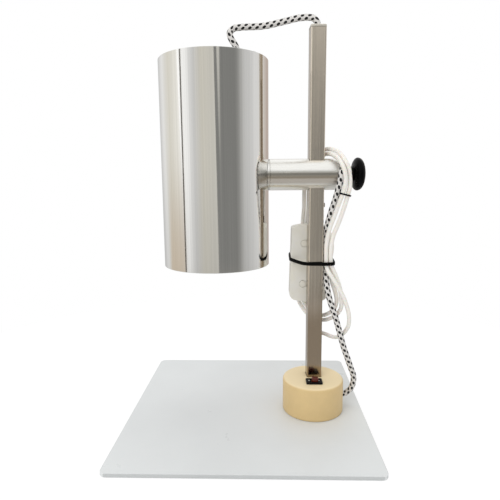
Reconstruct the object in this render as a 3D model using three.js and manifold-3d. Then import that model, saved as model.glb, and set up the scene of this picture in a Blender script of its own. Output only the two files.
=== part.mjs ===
// Infrared heat therapy lamp on a square post, with its lead tied up as a hank.
// Millimetres, +Z up, X to the right, Y away from the viewer.
// The origin is the centre of the base plate's underside.
import * as THREE from 'three';
import { mergeVertices } from 'three/addons/utils/BufferGeometryUtils.js';
import Module from 'manifold-3d';

const wasm = await Module();
wasm.setup();

// Clearances
const seatGap = 0.3;
const runGap = 0.4;

// Base plate
const plateSide = 304.8;
const plateThickness = 4.3;
const plateCorner = 8;

// Hub: a turned block that carries the post, the switch and the supply gland
const hubX = 87.9;
const hubY = -7.3;
const hubRadius = 39.8;
const hubHeight = 42.8;
const hubRound = 3;
const hubRoof = 13;
const hubCavityRadius = 22.6;
const hubScrewCircle = 32;

// Square post
const postX = 89.3;
const postY = 1.2;
const postWidth = 19.05;
const postWall = 1.5;
const postCorner = 1.8;
const postTop = 487.4;
const postTurn = THREE.MathUtils.degToRad(3);
const capHeight = 3.1;
const capSpigot = 12;
const footPlugHeight = 9;

// Cords
const braidDiameter = 7.2;
const innerCableDiameter = 5;
const whiteDiameter = 5.4;

// Stop screw on the post's right face
const stopDrop = 38.6;
const stopHeadDiameter = 6.4;
const stopHeadThickness = 2.4;
const stopShankDiameter = 3.4;
const stopShankLength = 5;

// Arm: a round tube that slides on the post
const armHeight = 314.3;
const armDiameter = 39;
const armWall = 1.6;
const armRight = 25.9;
const sleeveHalf = 15;
const endCapFlange = 1.5;
const endCapSpigot = 8;

// Clamp: pad, stud and knob
const padDiameter = 14;
const padThickness = 4;
const studDiameter = 8;
const neckStart = 42.2;
const neckDiameter = 18;
const knobStart = 46.2;
const knobThickness = 14.7;
const knobDiameter = 41.3;
const knobWidest = 6.3;
const studInKnob = 9;

// Lamp head
const shadeReach = 126.6;
const shadeDiameter = 133.2;
const shadeWall = 1.5;
const shadeAbove = 135.7;
const shadeBelow = 112.8;
const jointGap = 1;
const topRecess = 18;
const topThickness = 1.5;
const topFlange = 10;
const ventCount = 12;
const ventWidth = 5;
const ventLength = 16;
const ventCircle = 46;
const glandOffset = 33;
const nippleDiameter = 10;
const nippleLength = 26;
const holderDiameter = 40;
const holderHeight = 40;
const bulbDiameter = 121;
const bulbLength = 137;
const bulbWall = 1;
const bulbNeck = 6;
const bulbCapDiameter = 27;
const bulbCapLength = 25;
const bulbCapWall = 0.8;

// Tilt joint, from the arm's plug out to the nut inside the shade
const pivotDiameter = 8;
const pivotPlugLength = 10;
const pivotPlugDepth = 9;
const pivotWasherThickness = 1;
const saddleDiameter = 34.4;
const innerSaddleDiameter = 22;
const innerSaddleThickness = 3.2;
const springWasherThickness = 1.2;
const nutAcross = 13;
const nutThickness = 6.5;

// Rocker switch
const switchX = 87.9;
const switchY = -23.7;
const bezelLength = 21;
const bezelDepth = 15;
const bezelThickness = 2;
const switchLength = 19;
const switchDepth = 13;
const switchBody = 14;
const dollyLength = 8.4;
const dollyDepth = 7;
const dollyRise = 5;
const dollyLean = THREE.MathUtils.degToRad(12);
const wellLength = 10.2;
const wellDepth = 8.4;
const wellFloor = 8;
const tabWidth = 4.8;
const tabThickness = 0.8;
const tabLength = 7;
const tabSpacing = 8;

// Supply gland in the hub's side
const supplyHeight = 18.9;
const supplyTurn = THREE.MathUtils.degToRad(12);
const glandDiameter = 11;
const glandFlange = 15;
const glandFlangeThickness = 2;
const glandInset = 1;

// In-line box behind the post
const boxX = 84;
const boxZ = 197;
const boxFront = 12.2;
const boxWidth = 50;
const boxHeight = 96;
const boxBow = 4.2;
const boxDepth = 27;
const boxUpperCorner = 2.5;
const boxLowerCorner = 6;
const boxPillow = 3;
const boxWall = 2;
const boxRoll = THREE.MathUtils.degToRad(1.7);
const boxGlandX = 8;
const boxGlandDiameter = 10;
const boxGlandLength = 9;
const boxCapDiameter = 9.2;
const boxCapX = -8;
const boxCapSpacing = 54.6;

// Plug, ties
const plugX = 98.8;
const plugY = 48.8;
const plugTop = 216;
const plugLength = 38;
const plugWidth = 24;
const plugDepth = 17;
const bladeLength = 17;
const bladeWidth = 6.3;
const bladeThickness = 1.5;
const bladeSpacing = 12.7;
const tieHeight = 201.2;
const tieTilt = THREE.MathUtils.degToRad(6);
const tieWidth = 4.6;
const tieThickness = 1.8;
const thinTieWidth = 2;
const thinTieThickness = 1;
const thinTiePlace = [122.5, -23.8, 289.4];
const thinTieNormal = [0.252, -0.016, 0.968];
const thinTieSpread = 3.3;

// Derived sizes
const half = Math.PI / 2;
const hubTop = plateThickness + seatGap + hubHeight;
const postInner = postWidth - 2 * postWall;
const postFoot = plateThickness + seatGap;
const stopHeight = armHeight - stopDrop;
const armRadius = armDiameter / 2;
const armBore = armRadius - armWall;
const shadeRadius = shadeDiameter / 2;
const armLeft = shadeReach - shadeRadius - jointGap;
const pivotHole = pivotDiameter / 2 + seatGap;
const capTop = postTop + seatGap + capHeight;

const steel = (name, colour, roughness) => new THREE.MeshStandardMaterial({
  name, color: colour, roughness, metalness: 1,
});
const matt = (name, colour, roughness) => new THREE.MeshStandardMaterial({
  name, color: colour, roughness, metalness: 0,
});
const materials = {
  plate: matt('light_coated_steel', 0xd7dada, 0.35),
  hub: matt('cream_hub', 0xdec491, 0.7),
  post: steel('brushed_steel', 0x8c8476, 0.4),
  satin: steel('satin_steel', 0xc9c8c0, 0.25),
  mirror: steel('polished_steel', 0xd8d8d4, 0.05),
  zinc: steel('zinc_steel', 0xb6b8ba, 0.35),
  brass: steel('nickel_brass', 0xc8bd96, 0.3),
  black: matt('black_plastic', 0x101010, 0.4),
  grey: matt('grey_plastic', 0x5a5a58, 0.6),
  dolly: matt('red_dolly', 0x5a1a10, 0.3),
  box: matt('light_grey_plastic', 0xcdccc4, 0.5),
  button: matt('off_white_plastic', 0xd9d6c8, 0.5),
  white: matt('white_pvc', 0xe6e3dc, 0.45),
  braid: matt('white_braid', 0xe0dfdb, 0.9),
  ceramic: matt('white_ceramic', 0xecebe6, 0.3),
  glass: matt('frosted_red_glass', 0xb03a2c, 0.2),
};

// Cleans a closed geometry: merged corners, no empty triangles, faces pointing out
function closed(geometry) {
  const bare = geometry.clone();
  for (const name of Object.keys(bare.attributes)) {
    if (name !== 'position') bare.deleteAttribute(name);
  }
  const merged = mergeVertices(bare, 1e-4);
  const at = merged.attributes.position;
  const index = merged.index.array;
  const kept = [];
  let volume = 0;
  const [a, b, c] = [new THREE.Vector3(), new THREE.Vector3(), new THREE.Vector3()];
  for (let i = 0; i < index.length; i += 3) {
    const corner = [index[i], index[i + 1], index[i + 2]];
    if (new Set(corner).size < 3) continue;
    kept.push(...corner);
    a.fromBufferAttribute(at, corner[0]);
    b.fromBufferAttribute(at, corner[1]);
    c.fromBufferAttribute(at, corner[2]);
    volume += a.dot(b.cross(c));
  }
  if (volume < 0) kept.reverse();
  merged.setIndex(kept);
  return merged;
}

function solidOf(geometry) {
  const mesh = closed(geometry);
  return new wasm.Manifold(new wasm.Mesh({
    numProp: 3,
    vertProperties: new Float32Array(mesh.attributes.position.array),
    triVerts: new Uint32Array(mesh.index.array),
  }));
}

function geometryOf(solid) {
  const mesh = solid.getMesh();
  const geometry = new THREE.BufferGeometry();
  geometry.setAttribute('position', new THREE.BufferAttribute(mesh.vertProperties, 3));
  geometry.setIndex(new THREE.BufferAttribute(mesh.triVerts, 1));
  return geometry;
}

// Cuts each tool from a body, or joins them to it
function cut(body, ...tools) {
  return geometryOf(tools.reduce((left, tool) => left.subtract(solidOf(tool)), solidOf(body)));
}
function join(body, ...others) {
  return geometryOf(others.reduce((left, other) => left.add(solidOf(other)), solidOf(body)));
}
function common(body, other) {
  return geometryOf(solidOf(body).intersect(solidOf(other)));
}

// Turned on the Z axis from [radius, height] pairs
function turned(profile, segments = 32) {
  const points = profile.map(([radius, height]) => new THREE.Vector2(radius, height));
  return new THREE.LatheGeometry(points, segments).rotateX(half);
}

// A ring, or a disc when the bore is 0, from one height to another
function ring(outer, bore, low, high, segments = 32) {
  const profile = bore > 0
    ? [[bore, low], [outer, low], [outer, high], [bore, high], [bore, low]]
    : [[0, low], [outer, low], [outer, high], [0, high]];
  return turned(profile, segments);
}

// The same, along X
function ringX(outer, bore, low, high, segments = 32) {
  return ring(outer, bore, low, high, segments).rotateY(half);
}

function block(width, depth, low, high) {
  return new THREE.BoxGeometry(width, depth, high - low).translate(0, 0, (low + high) / 2);
}

function roundedRectangle(width, depth, corner) {
  const [x, y] = [width / 2 - corner, depth / 2 - corner];
  const shape = new THREE.Shape();
  shape.absarc(x, y, corner, 0, half, false);
  shape.absarc(-x, y, corner, half, 2 * half, false);
  shape.absarc(-x, -y, corner, 2 * half, 3 * half, false);
  shape.absarc(x, -y, corner, 3 * half, 4 * half, false);
  return shape;
}

function prism(shape, low, high, curveSegments = 4) {
  const settings = { depth: high - low, bevelEnabled: false, curveSegments };
  return new THREE.ExtrudeGeometry(shape, settings).translate(0, 0, low);
}

// A countersunk screw that points up, with its head's face at height 0
function countersunkScrew(headRadius, headHeight, radius, length) {
  return turned([
    [0, 0], [headRadius, 0], [headRadius, 0.4], [radius, headHeight],
    [radius, length - radius], [0, length],
  ], 16);
}
function countersink(headRadius, headHeight, radius, low, high) {
  return turned([
    [0, low], [headRadius, low], [headRadius, 0.4], [radius, headHeight],
    [radius, high], [0, high],
  ], 16);
}

const lamp = new THREE.Group();

function add(parent, name, geometry, material, place) {
  const mesh = new THREE.Mesh(closed(geometry), material);
  mesh.name = name;
  if (place) mesh.position.set(...place);
  parent.add(mesh);
  return mesh;
}

function group(parent, x, y, z) {
  const made = new THREE.Group();
  made.position.set(x, y, z);
  parent.add(made);
  return made;
}

// Base plate, with countersunk holes for the post's and the hub's screws
const postScrew = { head: 5.6, sink: 3.2, radius: 3, length: 14 };
const hubScrew = { head: 4, sink: 2.4, radius: 2, length: 24 };
const screwGap = seatGap;
const hubScrewPlaces = [150, -35].map((angle) => {
  const turn = THREE.MathUtils.degToRad(angle);
  return [hubX + hubScrewCircle * Math.cos(turn), hubY + hubScrewCircle * Math.sin(turn)];
});

function sunkHole(screw, x, y) {
  const head = screw.head + screwGap;
  const radius = screw.radius + screwGap;
  return countersink(head, screw.sink + screwGap, radius, -1, plateThickness + 1).translate(x, y, 0);
}

let plate = new THREE.ExtrudeGeometry(roundedRectangle(plateSide - 1, plateSide - 1, plateCorner), {
  depth: plateThickness - 1,
  bevelThickness: 0.5,
  bevelSize: 0.5,
  bevelSegments: 1,
  curveSegments: 4,
}).translate(0, 0, 0.5);
plate = cut(
  plate,
  sunkHole(postScrew, postX, postY),
  ...hubScrewPlaces.map(([x, y]) => sunkHole(hubScrew, x, y)),
);
add(lamp, 'base_plate', plate, materials.plate);

// Hub: bored from below, with a square hole for the post and a slot for the switch
const hubGroup = group(lamp, hubX, hubY, plateThickness + seatGap);
const hubProfile = [[0, 0], [hubRadius - 0.8, 0], [hubRadius, 0.8]];
for (let step = 0; step <= 3; step += 1) {
  const turn = (step / 3) * half;
  hubProfile.push([
    hubRadius - hubRound + hubRound * Math.cos(turn),
    hubHeight - hubRound + hubRound * Math.sin(turn),
  ]);
}
hubProfile.push([0, hubHeight]);
const postHole = prism(
  roundedRectangle(postWidth + 2 * runGap, postWidth + 2 * runGap, postCorner),
  -1,
  hubHeight + 1,
).rotateZ(postTurn).translate(postX - hubX, postY - hubY, 0);
const switchHole = block(
  switchLength + 2 * seatGap,
  switchDepth + 2 * seatGap,
  hubHeight - switchBody - tabLength - 4,
  hubHeight + 1,
).translate(switchX - hubX, switchY - hubY, 0);
const glandHole = ringX(glandDiameter / 2 + seatGap, 0, 15, hubRadius + 2, 24)
  .rotateZ(supplyTurn).translate(0, 0, supplyHeight - plateThickness - seatGap);
const hubScrewHoles = hubScrewPlaces.map(([x, y]) => ring(
  hubScrew.radius + screwGap, 0, -1, hubScrew.length - plateThickness + 2, 16,
).translate(x - hubX, y - hubY, 0));
const hub = cut(
  turned(hubProfile, 56),
  ring(hubCavityRadius, 0, -1, hubHeight - hubRoof, 32),
  postHole,
  switchHole,
  glandHole,
  ...hubScrewHoles,
);
add(hubGroup, 'hub', hub, materials.hub);
hubScrewPlaces.forEach(([x, y], number) => {
  const screw = countersunkScrew(hubScrew.head, hubScrew.sink, hubScrew.radius, hubScrew.length);
  add(lamp, `hub_screw_${number + 1}`, screw, materials.zinc, [x, y, 0.2]);
});

// Post, its foot plug, fixing screw, stop screw and end cap
const postGroup = group(lamp, postX, postY, 0);
postGroup.rotation.z = postTurn;
const cableHole = 7;
const cableHoleHeight = 22;
const postOutline = roundedRectangle(postWidth, postWidth, postCorner);
postOutline.holes.push(roundedRectangle(postInner, postInner, postCorner / 2));
const post = cut(
  prism(postOutline, postFoot, postTop, 4),
  ringX(stopShankDiameter / 2 + seatGap, 0, 0, postWidth, 16).translate(0, 0, stopHeight),
  ringX(cableHole / 2, 0, 0, postWidth, 24).rotateZ(-half).translate(0, 0, cableHoleHeight),
);
add(postGroup, 'post', post, materials.post);

const footPlug = cut(
  block(postInner - 2 * seatGap, postInner - 2 * seatGap, 0, footPlugHeight),
  ring(postScrew.radius + seatGap, 0, -1, footPlugHeight + 1, 24),
);
add(postGroup, 'post_foot_plug', footPlug, materials.zinc, [0, 0, postFoot]);
const postScrewShape = countersunkScrew(
  postScrew.head, postScrew.sink, postScrew.radius, postScrew.length,
);
add(postGroup, 'post_screw', postScrewShape, materials.zinc, [0, 0, 0.2]);

const stopScrew = turned([
  [0, -stopShankLength], [stopShankDiameter / 2, -stopShankLength], [stopShankDiameter / 2, 0],
  [stopHeadDiameter / 2, 0], [stopHeadDiameter / 2, stopHeadThickness * 0.5],
  [stopHeadDiameter * 0.32, stopHeadThickness * 0.9], [0, stopHeadThickness],
], 24).rotateY(half);
add(postGroup, 'stop_screw', stopScrew, materials.zinc, [postWidth / 2 + seatGap, 0, stopHeight]);

const capBore = braidDiameter / 2 + runGap;
const capShape = new THREE.ExtrudeGeometry(
  roundedRectangle(postWidth - 2, postWidth - 2, postCorner),
  { depth: capHeight - 2, bevelThickness: 1, bevelSize: 1, bevelSegments: 2, curveSegments: 3 },
).translate(0, 0, 1);
const capInside = postInner - 2 * seatGap;
const cap = cut(
  join(capShape, block(capInside, capInside, -capSpigot, 1)),
  ring(capBore, 0, -capSpigot - 1, capHeight + 1, 24),
);
add(postGroup, 'post_cap', cap, materials.zinc, [0, 0, postTop + seatGap]);

// Switch: bezel and housing in one, two tabs and the dolly that leans to the right
const switchGroup = group(lamp, switchX, switchY, hubTop + seatGap);
const bezel = new THREE.ExtrudeGeometry(
  roundedRectangle(bezelLength - 0.8, bezelDepth - 0.8, 1.2),
  {
    depth: bezelThickness - 0.8,
    bevelThickness: 0.4,
    bevelSize: 0.4,
    bevelSegments: 1,
    curveSegments: 3,
  },
).translate(0, 0, 0.4);
const housing = cut(
  join(bezel, block(switchLength, switchDepth, -switchBody, 0.5)),
  block(wellLength, wellDepth, bezelThickness - wellFloor, bezelThickness + 1),
);
add(switchGroup, 'switch_body', housing, materials.black);
for (const side of [-1, 1]) {
  const tab = block(tabWidth, tabThickness, -switchBody - seatGap - tabLength, -switchBody - seatGap);
  const name = side < 0 ? 'switch_tab_left' : 'switch_tab_right';
  add(switchGroup, name, tab.rotateZ(half), materials.brass, [side * tabSpacing / 2, 0, 0]);
}

// The dolly's outline in X and Z, round its trunnion
const trunnionDrop = 2.6;
const dollyTop = trunnionDrop + dollyRise;
const dollyShape = new THREE.Shape();
const dollyHalf = dollyLength / 2;
dollyShape.moveTo(-2.2, -2);
dollyShape.quadraticCurveTo(0, -3.2, 2.2, -2);
dollyShape.lineTo(dollyHalf * 0.9, trunnionDrop * 0.4);
dollyShape.lineTo(dollyHalf, dollyTop - 1.6);
dollyShape.quadraticCurveTo(dollyHalf, dollyTop, dollyHalf - 1.6, dollyTop);
dollyShape.quadraticCurveTo(0, dollyTop - 0.9, -dollyHalf + 1.6, dollyTop - 0.6);
dollyShape.quadraticCurveTo(-dollyHalf, dollyTop - 0.7, -dollyHalf, dollyTop - 2.2);
dollyShape.lineTo(-dollyHalf * 0.9, trunnionDrop * 0.4);
dollyShape.closePath();
const dollyHinge = group(switchGroup, 0, 0, bezelThickness - trunnionDrop);
dollyHinge.rotation.y = dollyLean;
const dolly = new THREE.ExtrudeGeometry(dollyShape, {
  depth: dollyDepth - 1.2,
  bevelThickness: 0.6,
  bevelSize: 0.6,
  bevelOffset: -0.6,
  bevelSegments: 2,
  curveSegments: 4,
}).translate(0, 0, -(dollyDepth - 1.2) / 2).rotateX(half);
add(dollyHinge, 'switch_dolly', dolly, materials.dolly);

// Supply gland in the hub's side
const supplyFrame = group(lamp, hubX, hubY, supplyHeight);
supplyFrame.rotation.z = supplyTurn;
const glandBack = hubCavityRadius - 1.5;
const supplyGland = cut(
  join(
    ringX(glandDiameter / 2, 0, glandBack - 1, hubRadius - glandInset, 24),
    ringX(glandFlange / 2, 0, glandBack - 1 - glandFlangeThickness, glandBack - 1, 24),
  ),
  ringX(braidDiameter / 2 + seatGap, 0, 0, hubRadius + 9, 24),
);
add(supplyFrame, 'supply_gland', supplyGland, materials.black);

// Arm, in a frame on the post's axis: +X to the knob, -X to the lamp
const arm = group(postGroup, 0, 0, armHeight);
const postWay = postWidth + 2 * runGap;
const armTube = cut(
  ringX(armRadius, armBore, -armLeft, armRight, 56),
  block(postWay, postWay, -armRadius - 1, armRadius + 1),
);
add(arm, 'arm_tube', armTube, materials.satin);

const sleeve = cut(
  ringX(armBore - seatGap, 0, -sleeveHalf, sleeveHalf, 36),
  block(postWidth + 2 * seatGap, postWidth + 2 * seatGap, -armRadius, armRadius),
  ringX(padDiameter / 2 + seatGap, 0, 0, sleeveHalf + 1, 24),
);
add(arm, 'guide_sleeve', sleeve, materials.grey);

const endCapStart = armRight + seatGap;
const endCap = cut(
  join(
    ringX(armRadius, 0, endCapStart, endCapStart + endCapFlange, 48),
    ringX(armBore - seatGap, 0, endCapStart - endCapSpigot, endCapStart + 0.5, 36),
  ),
  ringX(studDiameter / 2 + seatGap, 0, 0, armRight + 9, 20),
);
add(arm, 'arm_end_cap', endCap, materials.satin);

// Clamp: the pad bears on the post, the stud pushes it and the knob turns the stud
const padStart = postWidth / 2 + seatGap;
const padEnd = padStart + padThickness;
add(arm, 'pressure_pad', ringX(padDiameter / 2, 0, padStart, padEnd, 24), materials.grey);
const studEnd = knobStart + studInKnob;
const stud = turned([
  [0, padEnd + seatGap], [studDiameter / 2 - 1, padEnd + seatGap],
  [studDiameter / 2, padEnd + seatGap + 1], [studDiameter / 2, studEnd], [0, studEnd],
], 20).rotateY(half);
add(arm, 'knob_stud', stud, materials.zinc);
const knobProfile = [];
const knobSteps = 12;
for (let step = 0; step <= knobSteps; step += 1) {
  const turn = -half + (2 * half * step) / knobSteps;
  const reach = turn < 0 ? knobWidest : knobThickness - knobWidest;
  knobProfile.push([
    step % knobSteps === 0 ? 0 : (knobDiameter / 2) * Math.cos(turn) ** 0.62,
    knobStart + knobWidest + reach * Math.sin(turn),
  ]);
}
const knob = cut(
  join(
    turned(knobProfile, 30).rotateY(half),
    ringX(neckDiameter / 2, 0, neckStart, knobStart + 2, 24),
  ),
  ringX(studDiameter / 2 + seatGap, 0, neckStart - 1, studEnd + seatGap, 20),
);
add(arm, 'knob', knob, materials.black);

// Tilt joint: a plug in the arm, a washer, and a saddle that fits the shade
const pivotPlugStart = -armLeft + pivotPlugDepth;
const pivotPlug = cut(
  ringX(armBore - seatGap, 0, pivotPlugStart, pivotPlugStart + pivotPlugLength, 36),
  ringX(pivotHole, 0, -armLeft - 1, 0, 20),
);
add(arm, 'pivot_plug', pivotPlug, materials.zinc);
const pivotWasher = ringX(
  armBore - 1, pivotHole, pivotPlugStart - seatGap - pivotWasherThickness,
  pivotPlugStart - seatGap, 24,
);
add(arm, 'pivot_washer', pivotWasher, materials.grey);

// Lamp head, in a frame on the shade's axis at the arm's height
const head = group(arm, -shadeReach, 0, 0);
const shade = cut(
  ring(shadeRadius, shadeRadius - shadeWall, -shadeBelow, shadeAbove, 64),
  ringX(pivotHole, 0, 0, shadeRadius + 5, 20),
);
add(head, 'shade', shade, materials.mirror);

const saddleFlat = shadeReach + pivotPlugStart - 2 * seatGap - pivotWasherThickness;
const saddle = cut(
  ringX(saddleDiameter / 2, pivotHole, shadeRadius - 6, saddleFlat, 32),
  ring(shadeRadius + seatGap, 0, -saddleDiameter, saddleDiameter, 144),
);
add(head, 'pivot_saddle', saddle, materials.zinc);

const innerWall = shadeRadius - shadeWall - seatGap;
const innerFlat = innerWall - innerSaddleThickness;
const innerSaddle = common(
  ringX(innerSaddleDiameter / 2, pivotHole, innerFlat, shadeRadius, 20),
  ring(innerWall, 0, -innerSaddleDiameter, innerSaddleDiameter, 144),
);
add(head, 'pivot_inner_saddle', innerSaddle, materials.zinc);

const springWasherEnd = innerFlat - seatGap;
const springWasher = ringX(
  nutAcross / 2 + 1, pivotHole, springWasherEnd - springWasherThickness, springWasherEnd, 20,
).translate(-shadeReach, 0, 0);
add(arm, 'pivot_spring_washer', springWasher, materials.zinc);
const nutEnd = springWasherEnd - springWasherThickness - seatGap;
const nutRadius = nutAcross / Math.sqrt(3);
const nut = cut(
  ringX(nutRadius, 0, nutEnd - nutThickness, nutEnd, 6),
  ringX(pivotHole, 0, 0, shadeRadius, 20),
).translate(-shadeReach, 0, 0);
add(arm, 'pivot_nut', nut, materials.zinc);
const boltHeadStart = pivotPlugStart + pivotPlugLength + seatGap;
const boltEnd = nutEnd - nutThickness - 1.5 - shadeReach;
const bolt = join(
  ringX(pivotDiameter / 2, 0, boltEnd, boltHeadStart + 1, 20),
  ringX(nutRadius, 0, boltHeadStart, boltHeadStart + 5.3, 6),
);
add(arm, 'pivot_bolt', bolt, materials.zinc);

// Top plate: a cup with vent slots, pressed into the shade
const cupRadius = shadeRadius - shadeWall - seatGap;
const cupTop = shadeAbove - topRecess;
const cupLow = cupTop - topThickness;
const cup = turned([
  [0, cupLow], [cupRadius - topThickness, cupLow], [cupRadius - topThickness, cupTop - topFlange],
  [cupRadius, cupTop - topFlange], [cupRadius, cupTop - 1.2], [cupRadius - 1.2, cupTop],
  [0, cupTop],
], 48);
const ventShape = roundedRectangle(ventLength, ventWidth, ventWidth / 2 - 0.01);
const vents = [];
for (let slot = 0; slot < ventCount; slot += 1) {
  const turn = ((slot + 0.5) / ventCount) * 4 * half;
  const hole = prism(ventShape, cupLow - 1, cupTop + 1, 1).rotateZ(half);
  vents.push(hole.translate(ventCircle, 0, 0).rotateZ(turn));
}
const lampGlandRadius = 5.5;
const topPlate = cut(
  cup,
  ring(nippleDiameter / 2 + seatGap, 0, cupLow - 1, cupTop + 1, 24),
  ring(lampGlandRadius + seatGap, 0, cupLow - 1, cupTop + 1, 24).translate(glandOffset, 0, 0),
  ...vents,
);
add(head, 'top_plate', topPlate, materials.mirror);

const lampGland = turned([
  [braidDiameter / 2 + seatGap, cupLow - 4], [lampGlandRadius, cupLow - 4],
  [lampGlandRadius, cupTop + seatGap], [lampGlandRadius + 3, cupTop + seatGap],
  [lampGlandRadius + 3, cupTop + seatGap + 3], [lampGlandRadius + 0.5, cupTop + seatGap + 7],
  [braidDiameter / 2 + seatGap, cupTop + seatGap + 7], [braidDiameter / 2 + seatGap, cupLow - 4],
], 24);
add(head, 'lamp_gland', lampGland, materials.black, [glandOffset, 0, 0]);

// Nipple, locknut, lampholder and reflector bulb
const nippleTop = cupTop + 8;
const nippleLow = nippleTop - nippleLength;
const nipple = ring(nippleDiameter / 2, nippleDiameter / 2 - 1.5, nippleLow, nippleTop, 24);
add(head, 'holder_nipple', nipple, materials.zinc);
const locknut = cut(
  ring(9, 0, cupTop + seatGap, cupTop + seatGap + 4, 6),
  ring(nippleDiameter / 2 + seatGap, 0, cupTop, cupTop + 6, 24),
);
add(head, 'nipple_locknut', locknut, materials.zinc);
const holderTop = cupLow - seatGap;
const holderLow = holderTop - holderHeight;
const holderRadius = holderDiameter / 2;
const holderWall = holderRadius - bulbCapDiameter / 2 - runGap;
const holderRoof = nippleTop - nippleLow - 8;
const holder = turned([
  [nippleDiameter / 2 + seatGap, holderTop], [holderRadius * 0.6, holderTop],
  [holderRadius * 0.8, holderTop - 3], [holderRadius, holderTop - 12],
  [holderRadius, holderLow], [holderRadius - holderWall, holderLow],
  [holderRadius - holderWall, holderTop - holderRoof], [nippleDiameter / 2 + seatGap,
    holderTop - holderRoof], [nippleDiameter / 2 + seatGap, holderTop],
], 28);
add(head, 'lampholder', holder, materials.ceramic);

const bulbCapTop = holderTop - holderRoof - seatGap;
const bulbCapLow = bulbCapTop - bulbCapLength;
const bulbCapInside = bulbCapDiameter / 2 - bulbCapWall;
const bulbCap = turned([
  [0, bulbCapTop], [bulbCapDiameter * 0.2, bulbCapTop], [bulbCapDiameter * 0.28, bulbCapTop - 2],
  [bulbCapDiameter / 2, bulbCapTop - 5], [bulbCapDiameter / 2, bulbCapLow],
  [bulbCapInside, bulbCapLow], [bulbCapInside, bulbCapTop - 6], [0, bulbCapTop - 6],
], 24);
add(head, 'bulb_cap', bulbCap, materials.brass);
const bulbRadius = bulbDiameter / 2;
const bulbTop = bulbCapLow - seatGap;
const bulbNeckRadius = bulbCapInside - seatGap;
// The bulb's outline as radius and drop, from the rim under its cap to the face
const bulbOutline = [
  [bulbNeckRadius, 0], [14.5, 1], [16, 4], [18, 30], [22, 46], [30, 60], [38, 73], [46.5, 88],
  [54, 104], [59, 117], [bulbRadius, bulbLength - 12], [58.5, bulbLength - 5],
  [48, bulbLength - 1.4],
];
const bulbInside = bulbOutline.map(([radius, drop]) => [
  radius - bulbWall, drop > bulbLength - 8 ? drop - bulbWall : drop,
]);
const bulbProfile = [
  [bulbNeckRadius - bulbWall, -bulbNeck], [bulbNeckRadius, -bulbNeck], ...bulbOutline,
  [0, bulbLength], [0, bulbLength - bulbWall], ...bulbInside.toReversed(),
  [bulbNeckRadius - bulbWall, -bulbNeck],
].map(([radius, drop]) => [radius, bulbTop - drop]);
add(head, 'bulb', turned(bulbProfile, 30), materials.glass);

// In-line box: two pillowed shells with bowed ends, rolled a little on the post
const bundle = group(lamp, 0, 0, 0);

const box = group(bundle, boxX, boxFront, boxZ);
box.rotation.y = boxRoll;
function boxOutline(inset) {
  const x = boxWidth / 2 - inset;
  const z = boxHeight / 2 - inset;
  const upper = Math.max(boxUpperCorner - inset, 0.4);
  const lower = Math.max(boxLowerCorner - inset, 0.4);
  const bowAt = (r) => boxBow * (1 - (1 - r / x) ** 2);
  const peak = (r) => 2 * boxBow - bowAt(r);
  const shape = new THREE.Shape();
  shape.moveTo(x, -z + lower);
  shape.lineTo(x, z - upper);
  shape.quadraticCurveTo(x, z, x - upper, z + bowAt(upper));
  shape.quadraticCurveTo(0, z + peak(upper), -x + upper, z + bowAt(upper));
  shape.quadraticCurveTo(-x, z, -x, z - upper);
  shape.lineTo(-x, -z + lower);
  shape.quadraticCurveTo(-x, -z, -x + lower, -z - bowAt(lower));
  shape.quadraticCurveTo(0, -z - peak(lower), x - lower, -z - bowAt(lower));
  shape.quadraticCurveTo(x, -z, x, -z + lower);
  return shape;
}
const shellDepth = (boxDepth - seatGap) / 2;
function boxShell() {
  const outer = new THREE.ExtrudeGeometry(boxOutline(boxPillow), {
    depth: shellDepth - boxPillow,
    bevelThickness: boxPillow,
    bevelSize: boxPillow,
    bevelSegments: 3,
    curveSegments: 5,
  });
  const room = prism(boxOutline(boxWall), 0, shellDepth - boxWall, 3);
  const rear = block(2 * boxWidth, 2 * boxHeight, -2 * boxPillow, 0);
  return cut(outer, room, rear);
}
const boxGlandWay = boxGlandDiameter / 2;
const boxMiddle = boxDepth / 2;
const glandWay = ring(boxGlandWay + seatGap, 0, -boxHeight, boxHeight, 20)
  .translate(boxGlandX, boxMiddle, 0);
const capSeats = [-1, 1].map((side) => ringX(boxCapDiameter / 2 + seatGap, 0, -1, 1.6, 20)
  .rotateZ(half).translate(boxCapX, 0, side * boxCapSpacing / 2));
const frontShell = cut(
  boxShell().rotateX(half).translate(0, shellDepth, 0), glandWay, ...capSeats,
);
const backShell = cut(
  boxShell().rotateX(-half).translate(0, boxDepth - shellDepth, 0), glandWay,
);
add(box, 'box_front_shell', frontShell, materials.box);
add(box, 'box_back_shell', backShell, materials.box);
[-1, 1].forEach((side) => {
  const button = turned([
    [0, 1.3], [boxCapDiameter / 2, 1.3], [boxCapDiameter / 2, -0.3],
    [boxCapDiameter / 2 - 0.6, -0.7], [0, -0.8],
  ], 20).rotateX(-half);
  const name = side > 0 ? 'box_cap_upper' : 'box_cap_lower';
  add(box, name, button, materials.button, [boxCapX, 0, side * boxCapSpacing / 2]);
});
const boxEnd = boxHeight / 2 + boxBow;
function boxGland(bore) {
  const profile = [
    [bore, boxEnd - 6], [boxGlandWay + 2, boxEnd - 6], [boxGlandWay + 2, boxEnd - 4.2],
    [boxGlandWay, boxEnd - 4.2], [boxGlandWay, boxEnd + 1], [bore + 1.6, boxEnd + boxGlandLength],
    [bore, boxEnd + boxGlandLength], [bore, boxEnd - 6],
  ];
  return turned(profile, 20);
}
const topGland = boxGland(braidDiameter / 2 + seatGap);
add(box, 'box_gland_top', topGland, materials.black, [boxGlandX, boxMiddle, 0]);
const lowGland = boxGland(whiteDiameter / 2 + seatGap).rotateX(2 * half);
add(box, 'box_gland_bottom', lowGland, materials.white, [boxGlandX, boxMiddle, 0]);
const terminals = join(
  block(20, 9, -16, 16),
  ...[-1, 0, 1].map((row) => block(14, 12, row * 10 - 3.4, row * 10 + 3.4)),
);
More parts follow.
